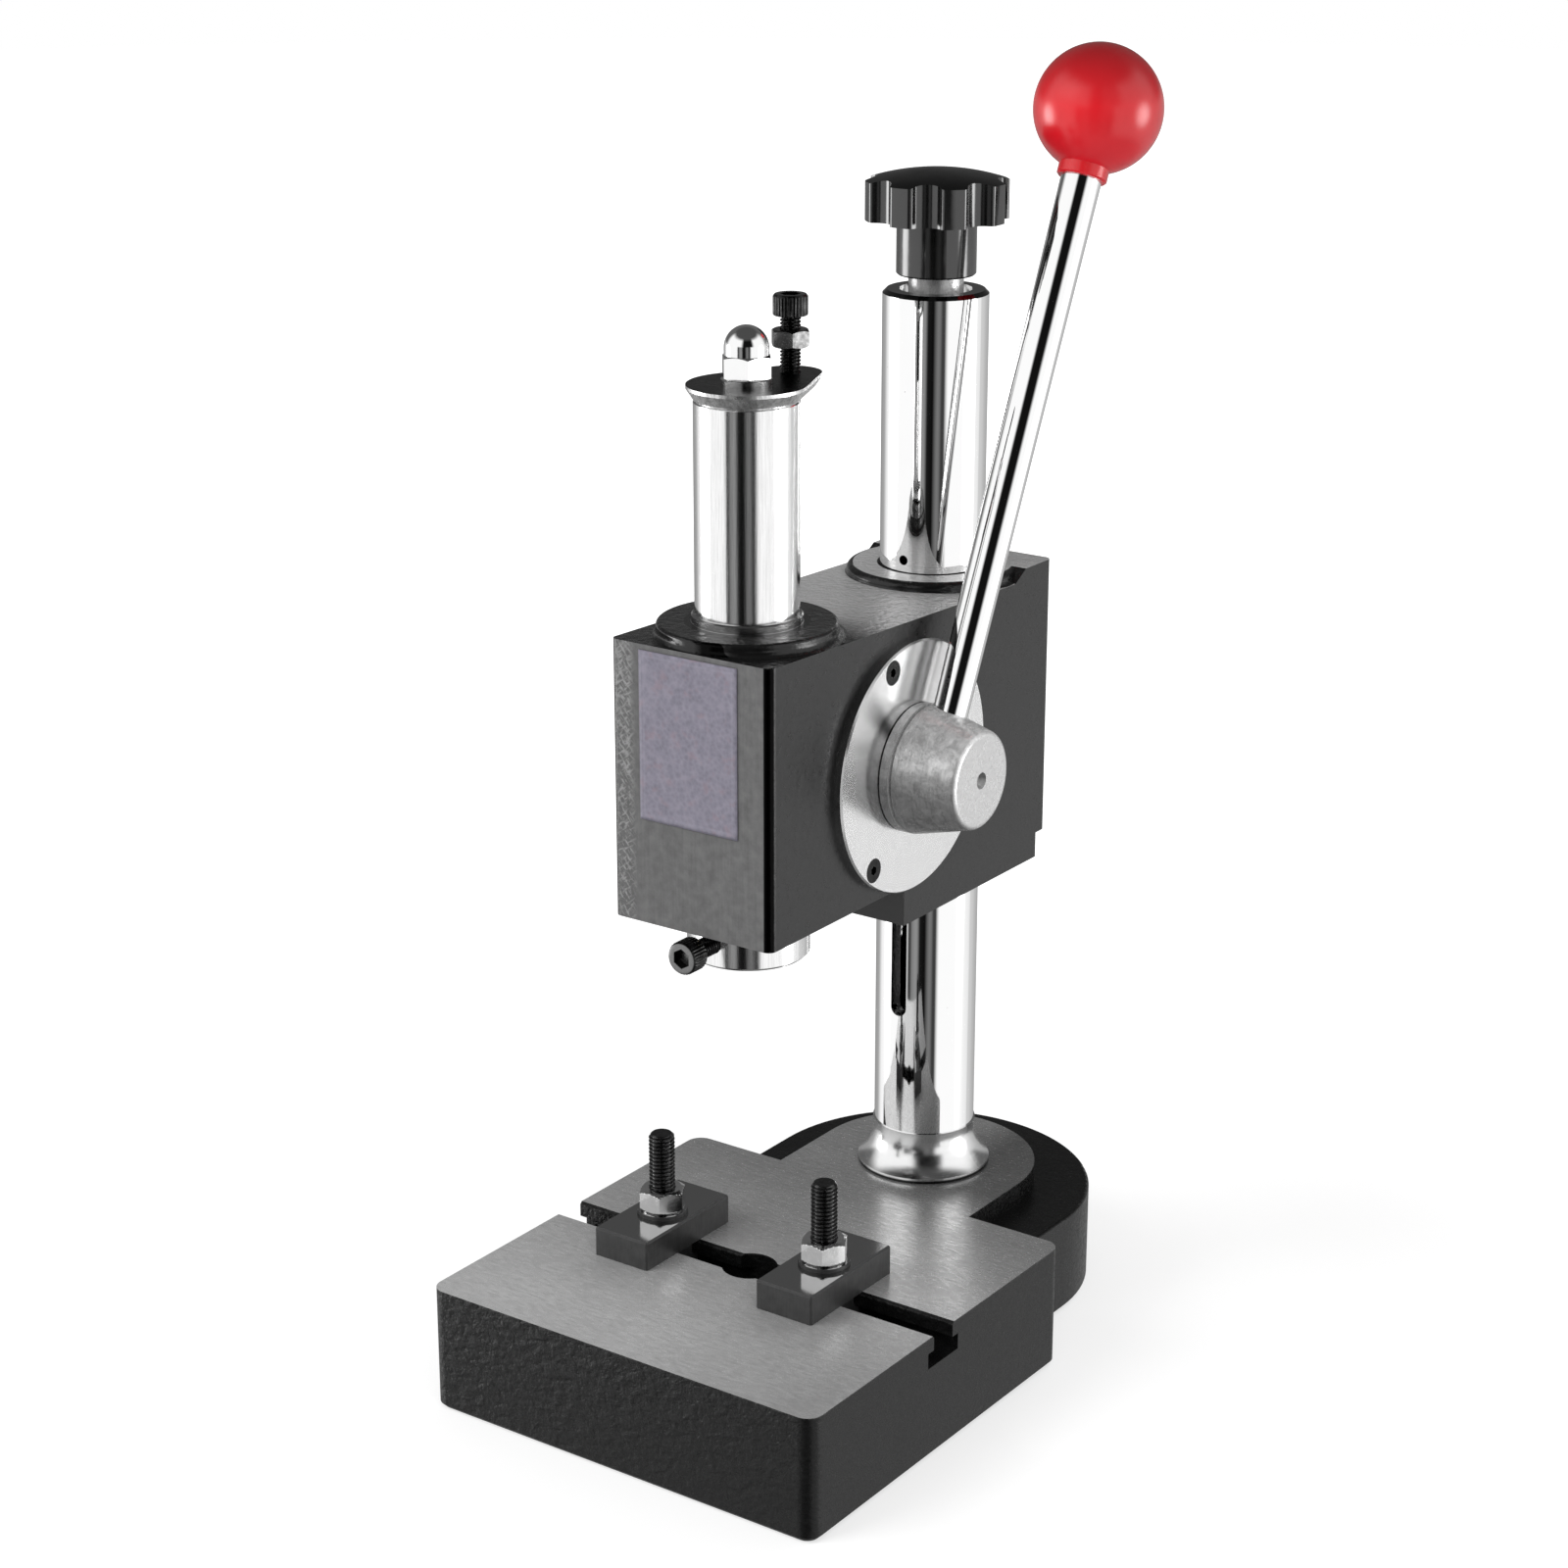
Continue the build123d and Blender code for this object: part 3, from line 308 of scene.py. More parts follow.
def slantNoise(tree, size, slope, thin):
    # cloud noise in the XZ plane, drawn out along a line of the given slope in degrees
    x, _, z = axes(tree)
    lean = np.radians(slope)
    along = weighed(tree, (x, np.cos(lean)), (z, np.sin(lean)))
    across = calc(tree, "SUBTRACT", times(tree, z, np.cos(lean)), times(tree, x, np.sin(lean)))
    joined = addNode(tree, "ShaderNodeCombineXYZ")
    wire(tree, times(tree, along, thin), joined.inputs[0])
    wire(tree, across, joined.inputs[1])
    node = addNode(tree, "ShaderNodeTexNoise")
    tree.links.new(joined.outputs[0], node.inputs["Vector"])
    node.inputs["Scale"].default_value = 1.0 / size
    node.inputs["Detail"].default_value = 3.0
    return node.outputs["Fac"]


headPaint = {"paint": 0.007, "side": 0.010, "corner": 0.006, "ior": 1.45, "rough": (0.10, 0.20),
             "cloudSize": 0.03, "peelSize": 0.0021, "peelDepth": 0.0009, "sideRough": 0.16,
             "frontRough": 0.38}
# painted light: the front's grey level is paler than the paint for the light falling on it, and its left edge
# is painted a darker shade
headFront = {"face": -0.0272, "level": 0.112, "leftEdgePaintedShade": 0.07, "scuff": 0.26,
             "leftEdge": (-0.0190, -0.0215), "streakSize": 0.0008, "mottleSize": 0.0030, "depth": 0.00006,
             # grain size and slope in degrees of the two crossing strokes
             "strokes": ((0.00085, 40.0), (0.00080, -50.0)), "strokeThin": 0.30}
# painted reflection: the flat top's mirror, level and glance give its painted reflection; the bosses' grey is
# a painted sheen
headTop = {"from": (0.014, 0.034), "mirror": 0.36, "level": 0.05, "paintedReflectionGlance": 0.34, "gloss": 1.45,
           "boss": 0.016, "bossHeight": 0.23860}


def headFinish():
    # black gloss on top and bosses, a duller right side and a grey, rubbed front; the front's grey and the
    # right side's paler shade are painted light, the rubbing is real wear
    material, tree, sockets = finish("headPaint", ior=headPaint["ior"])
    x, y, z = axes(tree)
    nx, ny, nz = facing(tree)
    front = times(tree, calc(tree, "LESS_THAN", y, headFront["face"]), spread(tree, ny, -0.97, -0.999))
    streak = noise(tree, headFront["streakSize"], 5.0, 0.7, stretch=(1.0, 1.0, 0.05))
    mottle = noise(tree, headFront["mottleSize"], 4.0, 0.6)
    strokes = calc(tree, "MAXIMUM", *[slantNoise(tree, size, slope, headFront["strokeThin"])
                                      for size, slope in headFront["strokes"]])
    weave = plus(tree, strokes, spread(tree, z, 0.160, 0.225, -0.05, 0.0))
    leftEdge = spread(tree, x, *headFront["leftEdge"])
    scuff = times(tree, leftEdge, spread(tree, weave, 0.48, 0.64))
    tone = weighed(tree, (streak, 0.35), (mottle, 0.65))
    # painted light: the front's grey level stands in for light falling on it; the streaks and scuffs in it
    # are real wear
    frontScuffsAndPaintedLight = greys(tree, spread(tree, tone, *noiseSpan["narrow"]), headFront["level"] * 0.80,
                        headFront["level"] * 1.22)
    # painted shade: the front darkened towards its left edge
    frontScuffsAndPaintedLight = blend(tree, times(tree, leftEdge, 0.35), frontScuffsAndPaintedLight, grey(headFront["leftEdgePaintedShade"]))
    frontScuffsAndPaintedLight = blend(tree, scuff, frontScuffsAndPaintedLight, grey(headFront["scuff"]))
    cloud = noise(tree, headPaint["cloudSize"], 3.0, 0.5)
    # painted light: the right side a slightly paler grey than the rest of the paint
    right = spread(tree, nx, 0.96, 0.995)
    paintColour = greys(tree, cloud, headPaint["paint"] * 0.7, headPaint["paint"] * 1.4)
    paintColour = blend(tree, right, paintColour, grey(headPaint["side"]))
    colour = blend(tree, front, paintColour, frontScuffsAndPaintedLight)

    level = spread(tree, nz, 0.985, 0.998)
    onBoss = calc(tree, "GREATER_THAN", z, headTop["bossHeight"])
    flatTop = times(tree, level, rest(tree, onBoss), spread(tree, y, *headTop["from"]))
    mirror = times(tree, flatTop, headTop["mirror"])
    # painted sheen: the boss tops a paler grey than the paint
    colour = blend(tree, times(tree, level, onBoss), colour, grey(headTop["boss"]))
    # painted reflection: the flat top's colour, with a part metal mirror, shows the pale surroundings at a
    # low glance and its own black from above
    paintedReflectionGlance = addNode(tree, "ShaderNodeFresnel")
    paintedReflectionGlance.inputs["IOR"].default_value = headTop["gloss"]
    topPaintedReflection = greys(tree, spread(tree, paintedReflectionGlance.outputs[0], 0.04, 0.20), headTop["level"], headTop["paintedReflectionGlance"])
    colour = blend(tree, flatTop, colour, blend(tree, mirror, topPaintedReflection, grey(0.9)))
    # painted shade: the front's right edge is painted dead black
    corner = times(tree, spread(tree, nx, 0.02, 0.12), spread(tree, nx, 0.995, 0.95),
                   calc(tree, "LESS_THAN", y, headFront["face"] + 0.003))
    colour = blend(tree, corner, colour, grey(headPaint["corner"]))
    wire(tree, calc(tree, "MAXIMUM", mirror, corner), sockets["Metallic"])

    peel = noise(tree, headPaint["peelSize"], 3.0, 0.6)
    rough = plus(tree, spread(tree, peel, *noiseSpan["wide"], *headPaint["rough"]),
                 times(tree, right, headPaint["sideRough"]), times(tree, front, headPaint["frontRough"]))
    up = spread(tree, nz, 0.5, 0.9)
    skin = relief(tree, times(tree, peel, spread(tree, up, 0, 1, 0.15, 1.0)), headPaint["peelDepth"], 0.7)
    lines = times(tree, front, plus(tree, streak, times(tree, scuff, 2.0)))
    wireFinish(tree, sockets, colour, rough, relief(tree, lines, headFront["depth"], 0.6, skin))
    return material


chromeLook = {"level": (0.95, 0.99), "pit": 0.55, "pitSize": 0.0060, "rough": (0.025, 0.060),
              "hazeSize": 0.02, "waveSize": 0.030, "waveDepth": 0.00020, "endFrom": 0.300, "paintedEndLevel": 0.02,
              "paintedEndShare": 0.95}


def chromeFinish():
    # polished plate with faint haze and pinpoint pits; the column's top end and its chamfer are painted dark,
    # a painted dark reflection
    material, tree, sockets = finish("mirrorChrome", metal=1.0)
    z = axes(tree)[2]
    nz = facing(tree)[2]
    haze = noise(tree, chromeLook["hazeSize"], 4.0, 0.6)
    pits = spread(tree, cells(tree, chromeLook["pitSize"]), 0.040, 0.020)
    colour = blend(tree, pits, greys(tree, haze, *chromeLook["level"]), grey(chromeLook["pit"]))
    # painted reflection: the column's top end and chamfer painted near black
    paintedDarkEnd = times(tree, calc(tree, "GREATER_THAN", z, chromeLook["endFrom"]), spread(tree, nz, 0.45, 0.62))
    colour = blend(tree, times(tree, paintedDarkEnd, chromeLook["paintedEndShare"]), colour, grey(chromeLook["paintedEndLevel"]))
    wave = noise(tree, chromeLook["waveSize"], 2.0, 0.5, stretch=(1.0, 1.0, 0.25))
    wireFinish(tree, sockets, colour, spread(tree, haze, 0.3, 0.75, *chromeLook["rough"]),
               relief(tree, wave, chromeLook["waveDepth"], 0.25))
    return material


footLook = {"level": 0.93, "paintedDarkLevel": 0.03, "edge": 0.0007, "rough": (0.15, 0.23), "grainSize": 0.0006}


def footFinish():
    # satin chrome, with painted shade: dark where its lowest edge meets the base
    material, tree, sockets = finish("satinFoot", metal=1.0)
    z = axes(tree)[2]
    turned = noise(tree, footLook["grainSize"], 4.0, 0.6, stretch=(0.12, 0.12, 1.0))
    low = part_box("column_foot")[0][2]
    # painted shade at the lowest edge
    edge = spread(tree, z, low + footLook["edge"] * 1.6, low + footLook["edge"])
    colour = greys(tree, turned, footLook["level"] * 0.90, min(1.0, footLook["level"] * 1.07))
    wireFinish(tree, sockets, blend(tree, edge, colour, grey(footLook["paintedDarkLevel"])),
               spread(tree, turned, *noiseSpan["wide"], *footLook["rough"]),
               relief(tree, turned, 0.00002, 0.4))
    return material


satinLook = {"cloudSize": 0.006, "cloudShare": 0.12, "depth": 0.00002}


def satinFinish(name, level, rough, grainSize, stretch):
    # machined steel: fine grain along one way, clouded tone and a soft sheen
    material, tree, sockets = finish(name, metal=1.0)
    grain = noise(tree, grainSize, 4.0, 0.65, stretch=stretch)
    cloud = noise(tree, satinLook["cloudSize"], 4.0, 0.65)
    tone = weighed(tree, (grain, 1.0 - satinLook["cloudShare"]), (cloud, satinLook["cloudShare"]))
    colour = greys(tree, spread(tree, tone, *noiseSpan["wide"]), level * 0.86, min(1.0, level * 1.10))
    wireFinish(tree, sockets, colour, spread(tree, tone, *noiseSpan["wide"], *rough),
               relief(tree, grain, satinLook["depth"], 0.6))
    return material


bushLook = {"lip": 0.0161, "paint": 0.008, "steel": 0.55, "rough": (0.14, 0.22), "grainSize": 0.0004,
            "depth": 0.00003}


def bushFinish():
    # dark turned steel lip; the flat outside it is painted over with the head
    material, tree, sockets = finish("bushSteel")
    x, y, _ = axes(tree)
    steel = calc(tree, "LESS_THAN", distance(tree, x, y), bushLook["lip"])
    turned = noise(tree, bushLook["grainSize"], 4.0, 0.65, stretch=(0.2, 0.2, 1.0))
    metalColour = greys(tree, turned, bushLook["steel"] * 0.75, bushLook["steel"] * 1.2)
    wire(tree, steel, sockets["Metallic"])
    wireFinish(tree, sockets, blend(tree, steel, grey(bushLook["paint"]), metalColour),
               spread(tree, turned, *noiseSpan["wide"], *bushLook["rough"]),
               relief(tree, turned, bushLook["depth"], 0.5))
    return material


flangeLook = {"steel": 0.90, "rough": (0.26, 0.17), "centre": (0.04028, 0.1933), "ringsPerMetre": 3200.0,
              "cloudSize": 0.006, "depth": 0.00001,
              # the painted dark ray, a painted reflection: its angle and half width in degrees, where it
              # fades out and its level
              "paintedRayAngle": 134.0, "paintedRayWidth": 11.0, "paintedRayFade": (0.036, 0.024), "paintedDarkLevel": 0.16}


def aroundShaft(tree):
    # distance from the shaft's axis, and the angle round it in degrees from the back, upwards
    _, y, z = axes(tree)
    back = calc(tree, "SUBTRACT", y, flangeLook["centre"][0])
    up = calc(tree, "SUBTRACT", z, flangeLook["centre"][1])
    return distance(tree, back, up), times(tree, calc(tree, "ARCTAN2", up, back), 180 / np.pi)


def flangeFinish():
    # faced on a lathe: faint rings, and one painted dark ray that stands in for the rings' dark reflection
    material, tree, sockets = finish("flangeSteel", metal=1.0)
    radius, angle = aroundShaft(tree)
    # painted reflection: a dark ray painted across the rings
    off = calc(tree, "ABSOLUTE", calc(tree, "SUBTRACT", angle, flangeLook["paintedRayAngle"]))
    paintedDarkRay = spread(tree, off, flangeLook["paintedRayWidth"], 1.0, smooth=True)
    paintedDarkRay = times(tree, paintedDarkRay, spread(tree, radius, *flangeLook["paintedRayFade"], 0.25, 1.0))
    rings = addNode(tree, "ShaderNodeTexNoise", noise_dimensions="1D")
    wire(tree, times(tree, radius, flangeLook["ringsPerMetre"]), rings.inputs["W"])
    rings.inputs["Scale"].default_value = 1.0
    rings.inputs["Detail"].default_value = 4.0
    cloud = noise(tree, flangeLook["cloudSize"], 4.0, 0.65)
    tone = weighed(tree, (rings.outputs["Fac"], 0.55), (cloud, 0.45))
    colour = greys(tree, spread(tree, tone, *noiseSpan["wide"]), flangeLook["steel"] * 0.88,
                   flangeLook["steel"] * 1.08)
    wireFinish(tree, sockets, blend(tree, paintedDarkRay, colour, grey(flangeLook["paintedDarkLevel"])),
               spread(tree, tone, *noiseSpan["wide"], *flangeLook["rough"]),
               relief(tree, rings.outputs["Fac"], flangeLook["depth"], 0.5))
    return material


hubLook = {"level": (0.50, 1.0), "face": 0.86, "speck": 0.22, "metal": 0.45, "under": 0.34,
           "rough": (0.34, 0.17), "scoreSize": 0.00055, "blotchSize": 0.0034, "speckSize": 0.0011,
           "depth": 0.00010}


def hubFinish():
    # coarse turned steel, blotched and lightly scored; the end face painted brighter as painted light, the
    # underside painted darker as painted shade
    material, tree, sockets = finish("turnedHub", metal=hubLook["metal"])
    nx, _, nz = facing(tree)
    score = noise(tree, hubLook["scoreSize"], 5.0, 0.7, stretch=(1.0, 0.10, 0.10))
    blotch = noise(tree, hubLook["blotchSize"], 5.0, 0.72, warp=0.8)
    speck = spread(tree, noise(tree, hubLook["speckSize"], 4.0, 0.7), 0.54, 0.70)
    tone = weighed(tree, (score, 0.35), (blotch, 0.65))
    colour = greys(tree, spread(tree, tone, 0.38, 0.62), *hubLook["level"])
    # painted shade below, painted light on the end face
    colour = blend(tree, spread(tree, nz, 0.62, -0.15, 0.0, 1.0 - hubLook["under"]), colour, grey(0.0))
    colour = blend(tree, times(tree, spread(tree, nx, 0.6, 0.95), 0.75), colour, grey(hubLook["face"]))
    colour = blend(tree, times(tree, speck, 0.35), colour, grey(hubLook["speck"]))
    wireFinish(tree, sockets, colour, spread(tree, tone, *noiseSpan["middle"], *hubLook["rough"]),
               relief(tree, plus(tree, score, times(tree, blotch, 1.4)), hubLook["depth"], 0.5))
    return material


def wornEdge(tree, radius, size):
    # edge wear broken up by cloud noise of the given size
    return times(tree, edgeWear(tree, radius), spread(tree, noise(tree, size, 4.0, 0.7), 0.40, 0.62))


clampLook = {"level": (0.014, 0.038), "mirror": 0.45, "worn": 0.16, "ior": 1.6, "rough": (0.50, 0.36),
             "topRough": 0.22, "edge": 0.0004, "wearSize": 0.0012, "cloudSize": 0.004, "sawnSize": 0.0006,
             "depth": 0.00003}


def oxideFinish():
    # blued black steel: glossy on top, duller and finely sawn on its sides
    material, tree, sockets = finish("blackOxide", ior=clampLook["ior"])
    nz = facing(tree)[2]
    cloud = noise(tree, clampLook["cloudSize"], 5.0, 0.65)
    sawn = noise(tree, clampLook["sawnSize"], 4.0, 0.7, stretch=(1.0, 1.0, 0.10))
    up = spread(tree, nz, 0.7, 0.98)
    wear = wornEdge(tree, clampLook["edge"], clampLook["wearSize"])
    tone = weighed(tree, (cloud, 0.5), (sawn, 0.5))
    colour = greys(tree, spread(tree, tone, *noiseSpan["middle"]), *clampLook["level"])
    colour = blend(tree, up, colour, grey(clampLook["mirror"]))
    side = spread(tree, tone, *noiseSpan["middle"], *clampLook["rough"])
    wire(tree, up, sockets["Metallic"])
    wireFinish(tree, sockets, blend(tree, times(tree, wear, 0.6), colour, grey(clampLook["worn"])),
               times(tree, side, spread(tree, up, 0.0, 1.0, 1.0, clampLook["topRough"])),
               relief(tree, sawn, clampLook["depth"], 0.4))
    return material


bluedLook = {"worn": 0.40, "edge": 0.0003, "wearSize": 0.0009, "cloudSize": 0.0018, "bumpSize": 0.0008,
             "depth": 0.00002}


def bluedFinish(name, level, rough, endAxis=None, paintedEndLevel=0.2):
    # hardened black screws and nuts: dark metal that still mirrors the lights; the end face may be painted
    # paler, a painted reflection
    material, tree, sockets = finish(name, metal=1.0)
    cloud = noise(tree, bluedLook["cloudSize"], 4.0, 0.65)
    wear = wornEdge(tree, bluedLook["edge"], bluedLook["wearSize"])
    colour = greys(tree, spread(tree, cloud, *noiseSpan["wide"]), *level)
    colour = blend(tree, times(tree, wear, 0.35), colour, grey(bluedLook["worn"]))
    if endAxis is not None:
        # painted reflection: the end face painted paler
        paintedEndFace = spread(tree, calc(tree, "ABSOLUTE", facing(tree)[endAxis]), 0.93, 0.99)
        colour = blend(tree, paintedEndFace, colour, grey(paintedEndLevel))
    wireFinish(tree, sockets, colour, spread(tree, cloud, *noiseSpan["wide"], *rough),
               relief(tree, noise(tree, bluedLook["bumpSize"], 4.0, 0.7), bluedLook["depth"], 0.4))
    return material


stopPlateLook = {"top": (0.008, 0.018), "rim": (0.46, 0.95), "rough": (0.36, 0.24), "filedSize": 0.0014,
                 "cloudSize": 0.006, "depth": 0.00006}


def stopPlateFinish():
    # the flat top blued black, the bevelled rim left bright and roughly filed
    material, tree, sockets = finish("stopPlate", metal=1.0)
    nz = facing(tree)[2]
    side = spread(tree, nz, 0.8, 0.4)
    filed = noise(tree, stopPlateLook["filedSize"], 4.0, 0.7, stretch=(1.0, 1.0, 0.5))
    rim = greys(tree, spread(tree, filed, *noiseSpan["narrow"]), *stopPlateLook["rim"])
    top = greys(tree, noise(tree, stopPlateLook["cloudSize"], 3.0, 0.6), *stopPlateLook["top"])
    wireFinish(tree, sockets, blend(tree, side, top, rim),
               spread(tree, filed, *noiseSpan["wide"], *stopPlateLook["rough"]),
               relief(tree, times(tree, filed, side), stopPlateLook["depth"], 0.6))
    return material


plateLook = {"cloudSize": 0.003, "bumpSize": 0.0012, "depth": 0.00002}


def plateFinish(name, level, rough):
    # bright nickel plate on nuts and washers
    material, tree, sockets = finish(name, metal=1.0)
    cloud = noise(tree, plateLook["cloudSize"], 4.0, 0.6)
    wireFinish(tree, sockets, greys(tree, cloud, *level), spread(tree, cloud, *noiseSpan["wide"], *rough),
               relief(tree, noise(tree, plateLook["bumpSize"], 3.0, 0.6), plateLook["depth"], 0.4))
    return material


bronzeLook = {"deep": (0.50, 0.32, 0.14, 1.0), "pale": (0.72, 0.50, 0.26, 1.0), "rough": (0.40, 0.28),
              "grainSize": 0.0005, "depth": 0.00002}


def bronzeFinish():
    # bearing bronze with fine turned grain
    material, tree, sockets = finish("machinedBronze", metal=1.0)
    grain = noise(tree, bronzeLook["grainSize"], 4.0, 0.6, stretch=(1.0, 1.0, 6.0))
    wireFinish(tree, sockets, blend(tree, grain, bronzeLook["deep"], bronzeLook["pale"]),
               spread(tree, grain, *noiseSpan["wide"], *bronzeLook["rough"]),
               relief(tree, grain, bronzeLook["depth"], 0.5))
    return material


knobLook = {"level": (0.0030, 0.0075), "dome": 0.006, "ior": 1.8, "gloss": (0.08, 0.16), "domeRough": 0.16,
            "hazeSize": 0.010, "waveSize": 0.006, "depth": 0.0002}


def knobFinish():
    # moulded black plastic: deep gloss with a faint flow haze; painted shade: the dome is a near-black metal
    # so that it stays dark
    material, tree, sockets = finish("knobBlack", ior=knobLook["ior"])
    nz = facing(tree)[2]
    haze = noise(tree, knobLook["hazeSize"], 3.0, 0.55)
    dome = spread(tree, nz, 0.45, 0.75)
    wire(tree, dome, sockets["Metallic"])
    gloss = spread(tree, haze, *noiseSpan["wide"], *knobLook["gloss"])
    colour = blend(tree, dome, greys(tree, haze, *knobLook["level"]), grey(knobLook["dome"]))
    wireFinish(tree, sockets, colour,
               plus(tree, gloss, times(tree, dome, knobLook["domeRough"])),
               relief(tree, noise(tree, knobLook["waveSize"], 2.0, 0.5), knobLook["depth"], 0.25))
    return material


ballLook = {"deep": (0.66, 0.006, 0.013, 1.0), "pale": (0.76, 0.010, 0.018, 1.0),
            "paintedShadeCrown": (0.26, 0.005, 0.008, 1.0), "foot": (0.84, 0.018, 0.032, 1.0), "rough": (0.36, 0.46),
            "coatIor": 1.6, "coatRoughness": 0.24, "specular": 0.05, "cloudSize": 0.012, "peelSize": 0.0016,
            "depth": 0.00006}


def ballFinish():
    # moulded red plastic, a shade paler in cloudy patches; the crown painted deeper as painted shade and the
    # foot paler as painted light
    material, tree, sockets = finish("ballRed", coat=1.0, coatRoughness=ballLook["coatRoughness"],
                                     specular=ballLook["specular"])
    sockets["Coat IOR"].default_value = ballLook["coatIor"]
    cloud = noise(tree, ballLook["cloudSize"], 4.0, 0.6)
    nz = facing(tree)[2]
    colour = blend(tree, cloud, ballLook["deep"], ballLook["pale"])
    # painted shade on the crown, painted light at the foot
    colour = blend(tree, spread(tree, nz, 0.15, 1.0), colour, ballLook["paintedShadeCrown"])
    colour = blend(tree, spread(tree, nz, -0.1, -0.9), colour, ballLook["foot"])
    wireFinish(tree, sockets, colour, spread(tree, cloud, *noiseSpan["wide"], *ballLook["rough"]),
               relief(tree, noise(tree, ballLook["peelSize"], 3.0, 0.55), ballLook["depth"], 0.35))
    return material


labelPlate = {"left": -0.0174, "right": 0.0166, "bottom": 0.1870, "top": 0.2370, "thickness": 0.0004,
              "gap": 0.00002, "columns": 34, "rows": 50}
labelLook = {"deep": (0.150, 0.142, 0.182, 1.0), "pale": (0.235, 0.222, 0.272, 1.0),
             "warm": (0.25, 0.175, 0.205, 1.0), "border": (0.33, 0.32, 0.38, 1.0), "specular": 0.4,
             "rough": (0.42, 0.55), "patchSize": 0.0042, "fleckSize": 0.0014, "warmSize": 0.0032,
             "depth": 0.00005}


def labelFinish():
    # a bare plate: speckled violet grey inside a thin paler border
    material, tree, sockets = finish("labelPlate", specular=labelLook["specular"])
    x, _, z = axes(tree)
    insets = []
    for along, low, high in ((x, labelPlate["left"], labelPlate["right"]),
                             (z, labelPlate["bottom"], labelPlate["top"])):
        fromLow = calc(tree, "SUBTRACT", along, low)
        fromHigh = calc(tree, "SUBTRACT", high, along)
        insets.append(calc(tree, "MINIMUM", fromLow, fromHigh))
    inset = calc(tree, "MINIMUM", *insets)
    border = times(tree, spread(tree, inset, 0.0011, 0.0014), spread(tree, inset, 0.0021, 0.0018))
    patch = noise(tree, labelLook["patchSize"], 4.0, 0.7)
    tone = weighed(tree, (patch, 0.7), (cells(tree, labelLook["fleckSize"]), 0.3))
    colour = blend(tree, spread(tree, tone, 0.28, 0.66), labelLook["deep"], labelLook["pale"])
    warm = spread(tree, noise(tree, labelLook["warmSize"], 2.0, 0.5, turn=(0.4, 0.2, 0.3)), 0.56, 0.70)
    colour = blend(tree, times(tree, warm, 0.4), colour, labelLook["warm"])
    colour = blend(tree, times(tree, border, 0.15), colour, labelLook["border"])
    wireFinish(tree, sockets, colour, spread(tree, tone, *noiseSpan["wide"], *labelLook["rough"]),
               relief(tree, tone, labelLook["depth"], 0.4))
    return material


def threadCut(height, turn, pitch, depth):
    # depth of the thread: a triangle wave of height over pitch less the turn, its crest and root flattened
    phase = height / pitch - turn / (2 * np.pi)
    wave = 2 * np.abs(phase - np.floor(phase + 0.5))
    return depth * np.clip(1.4 * wave - 0.2, 0.0, 1.0)


def hexRadius(turn, acrossFlats):
    # distance from the centre to a hexagon's side at each turn
    return acrossFlats / 2 / np.cos((turn + np.pi / 6) % (np.pi / 3) - np.pi / 6)


def ringQuads(rings, around, looped=False):
    # a four-sided face from each spot of a ring to the next spot and ring; looped joins the last to the first
    step, spot = np.meshgrid(np.arange(rings if looped else rings - 1), np.arange(around), indexing="ij")
    nextStep, nextSpot = (step + 1) % rings, (spot + 1) % around
    return np.stack([step * around + spot, step * around + nextSpot,
                     nextStep * around + nextSpot, nextStep * around + spot], axis=-1).reshape(-1, 4)


def turnedShape(radii, heights, origin, axis, side):
    # point = origin + radius (cos turn side + sin turn back) + height axis; a pole closes each end
    rings, around = radii.shape
    axis = np.asarray(axis, float)
    side = np.asarray(side, float)
    back = np.cross(axis, side)
    turn = np.linspace(0.0, 2 * np.pi, around, endpoint=False)
    rim = np.outer(np.cos(turn), side) + np.outer(np.sin(turn), back)
    points = np.asarray(origin) + radii[:, :, None] * rim[None, :, :] + heights[:, :, None] * axis
    poles = np.asarray(origin) + np.array([heights[0].mean(), heights[-1].mean()])[:, None] * axis
    spot = np.arange(around)
    nextSpot = (spot + 1) % around
    foot = np.stack([np.full(around, rings * around), nextSpot, spot], axis=-1)
    last = (rings - 1) * around
    head = np.stack([np.full(around, rings * around + 1), last + spot, last + nextSpot], axis=-1)
    faces = ringQuads(rings, around).tolist() + foot.tolist() + head.tolist()
    return np.vstack([points.reshape(-1, 3), poles]), faces


def makePiece(name, shapes, material, body, replaced=None, smoothAngle=35.0):
    # the shapes joined in one mesh, shaded smooth below the given angle
    points = []
    faces = []
    for vertices, polygons in shapes:
        start = sum(len(group) for group in points)
        points.append(vertices)
        faces += [[index + start for index in polygon] for polygon in polygons]
    mesh = bpy.data.meshes.new(name)
    mesh.from_pydata(np.vstack(points).tolist(), [], faces)
    mesh.polygons.foreach_set("use_smooth", np.ones(len(faces), dtype=bool))
    mesh.set_sharp_from_angle(angle=np.radians(smoothAngle))
    mesh.update()
    piece = bpy.data.objects.new(name, mesh)
    bpy.context.scene.collection.objects.link(piece)
    mesh.materials.append(material)
    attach(piece, body)
    if replaced:
        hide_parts(replaced)
    return piece


def threadedRod(length, radius, pitch, depth, lead, around, rowsPerTurn):
    # rings of a screwed rod: outer radius less the thread's cut, its ends turned down by the lead
    rows = int(round(length / pitch * rowsPerTurn)) + 1
    turn = np.linspace(0.0, 2 * np.pi, around, endpoint=False)[None, :]
    height = np.linspace(0.0, length, rows)[:, None]
    toEnd = np.minimum(height, length - height)
    cut = threadCut(height, turn, pitch, depth)
    radii = np.minimum(radius - cut, radius - lead + toEnd)
    return radii, np.broadcast_to(height, radii.shape).copy()


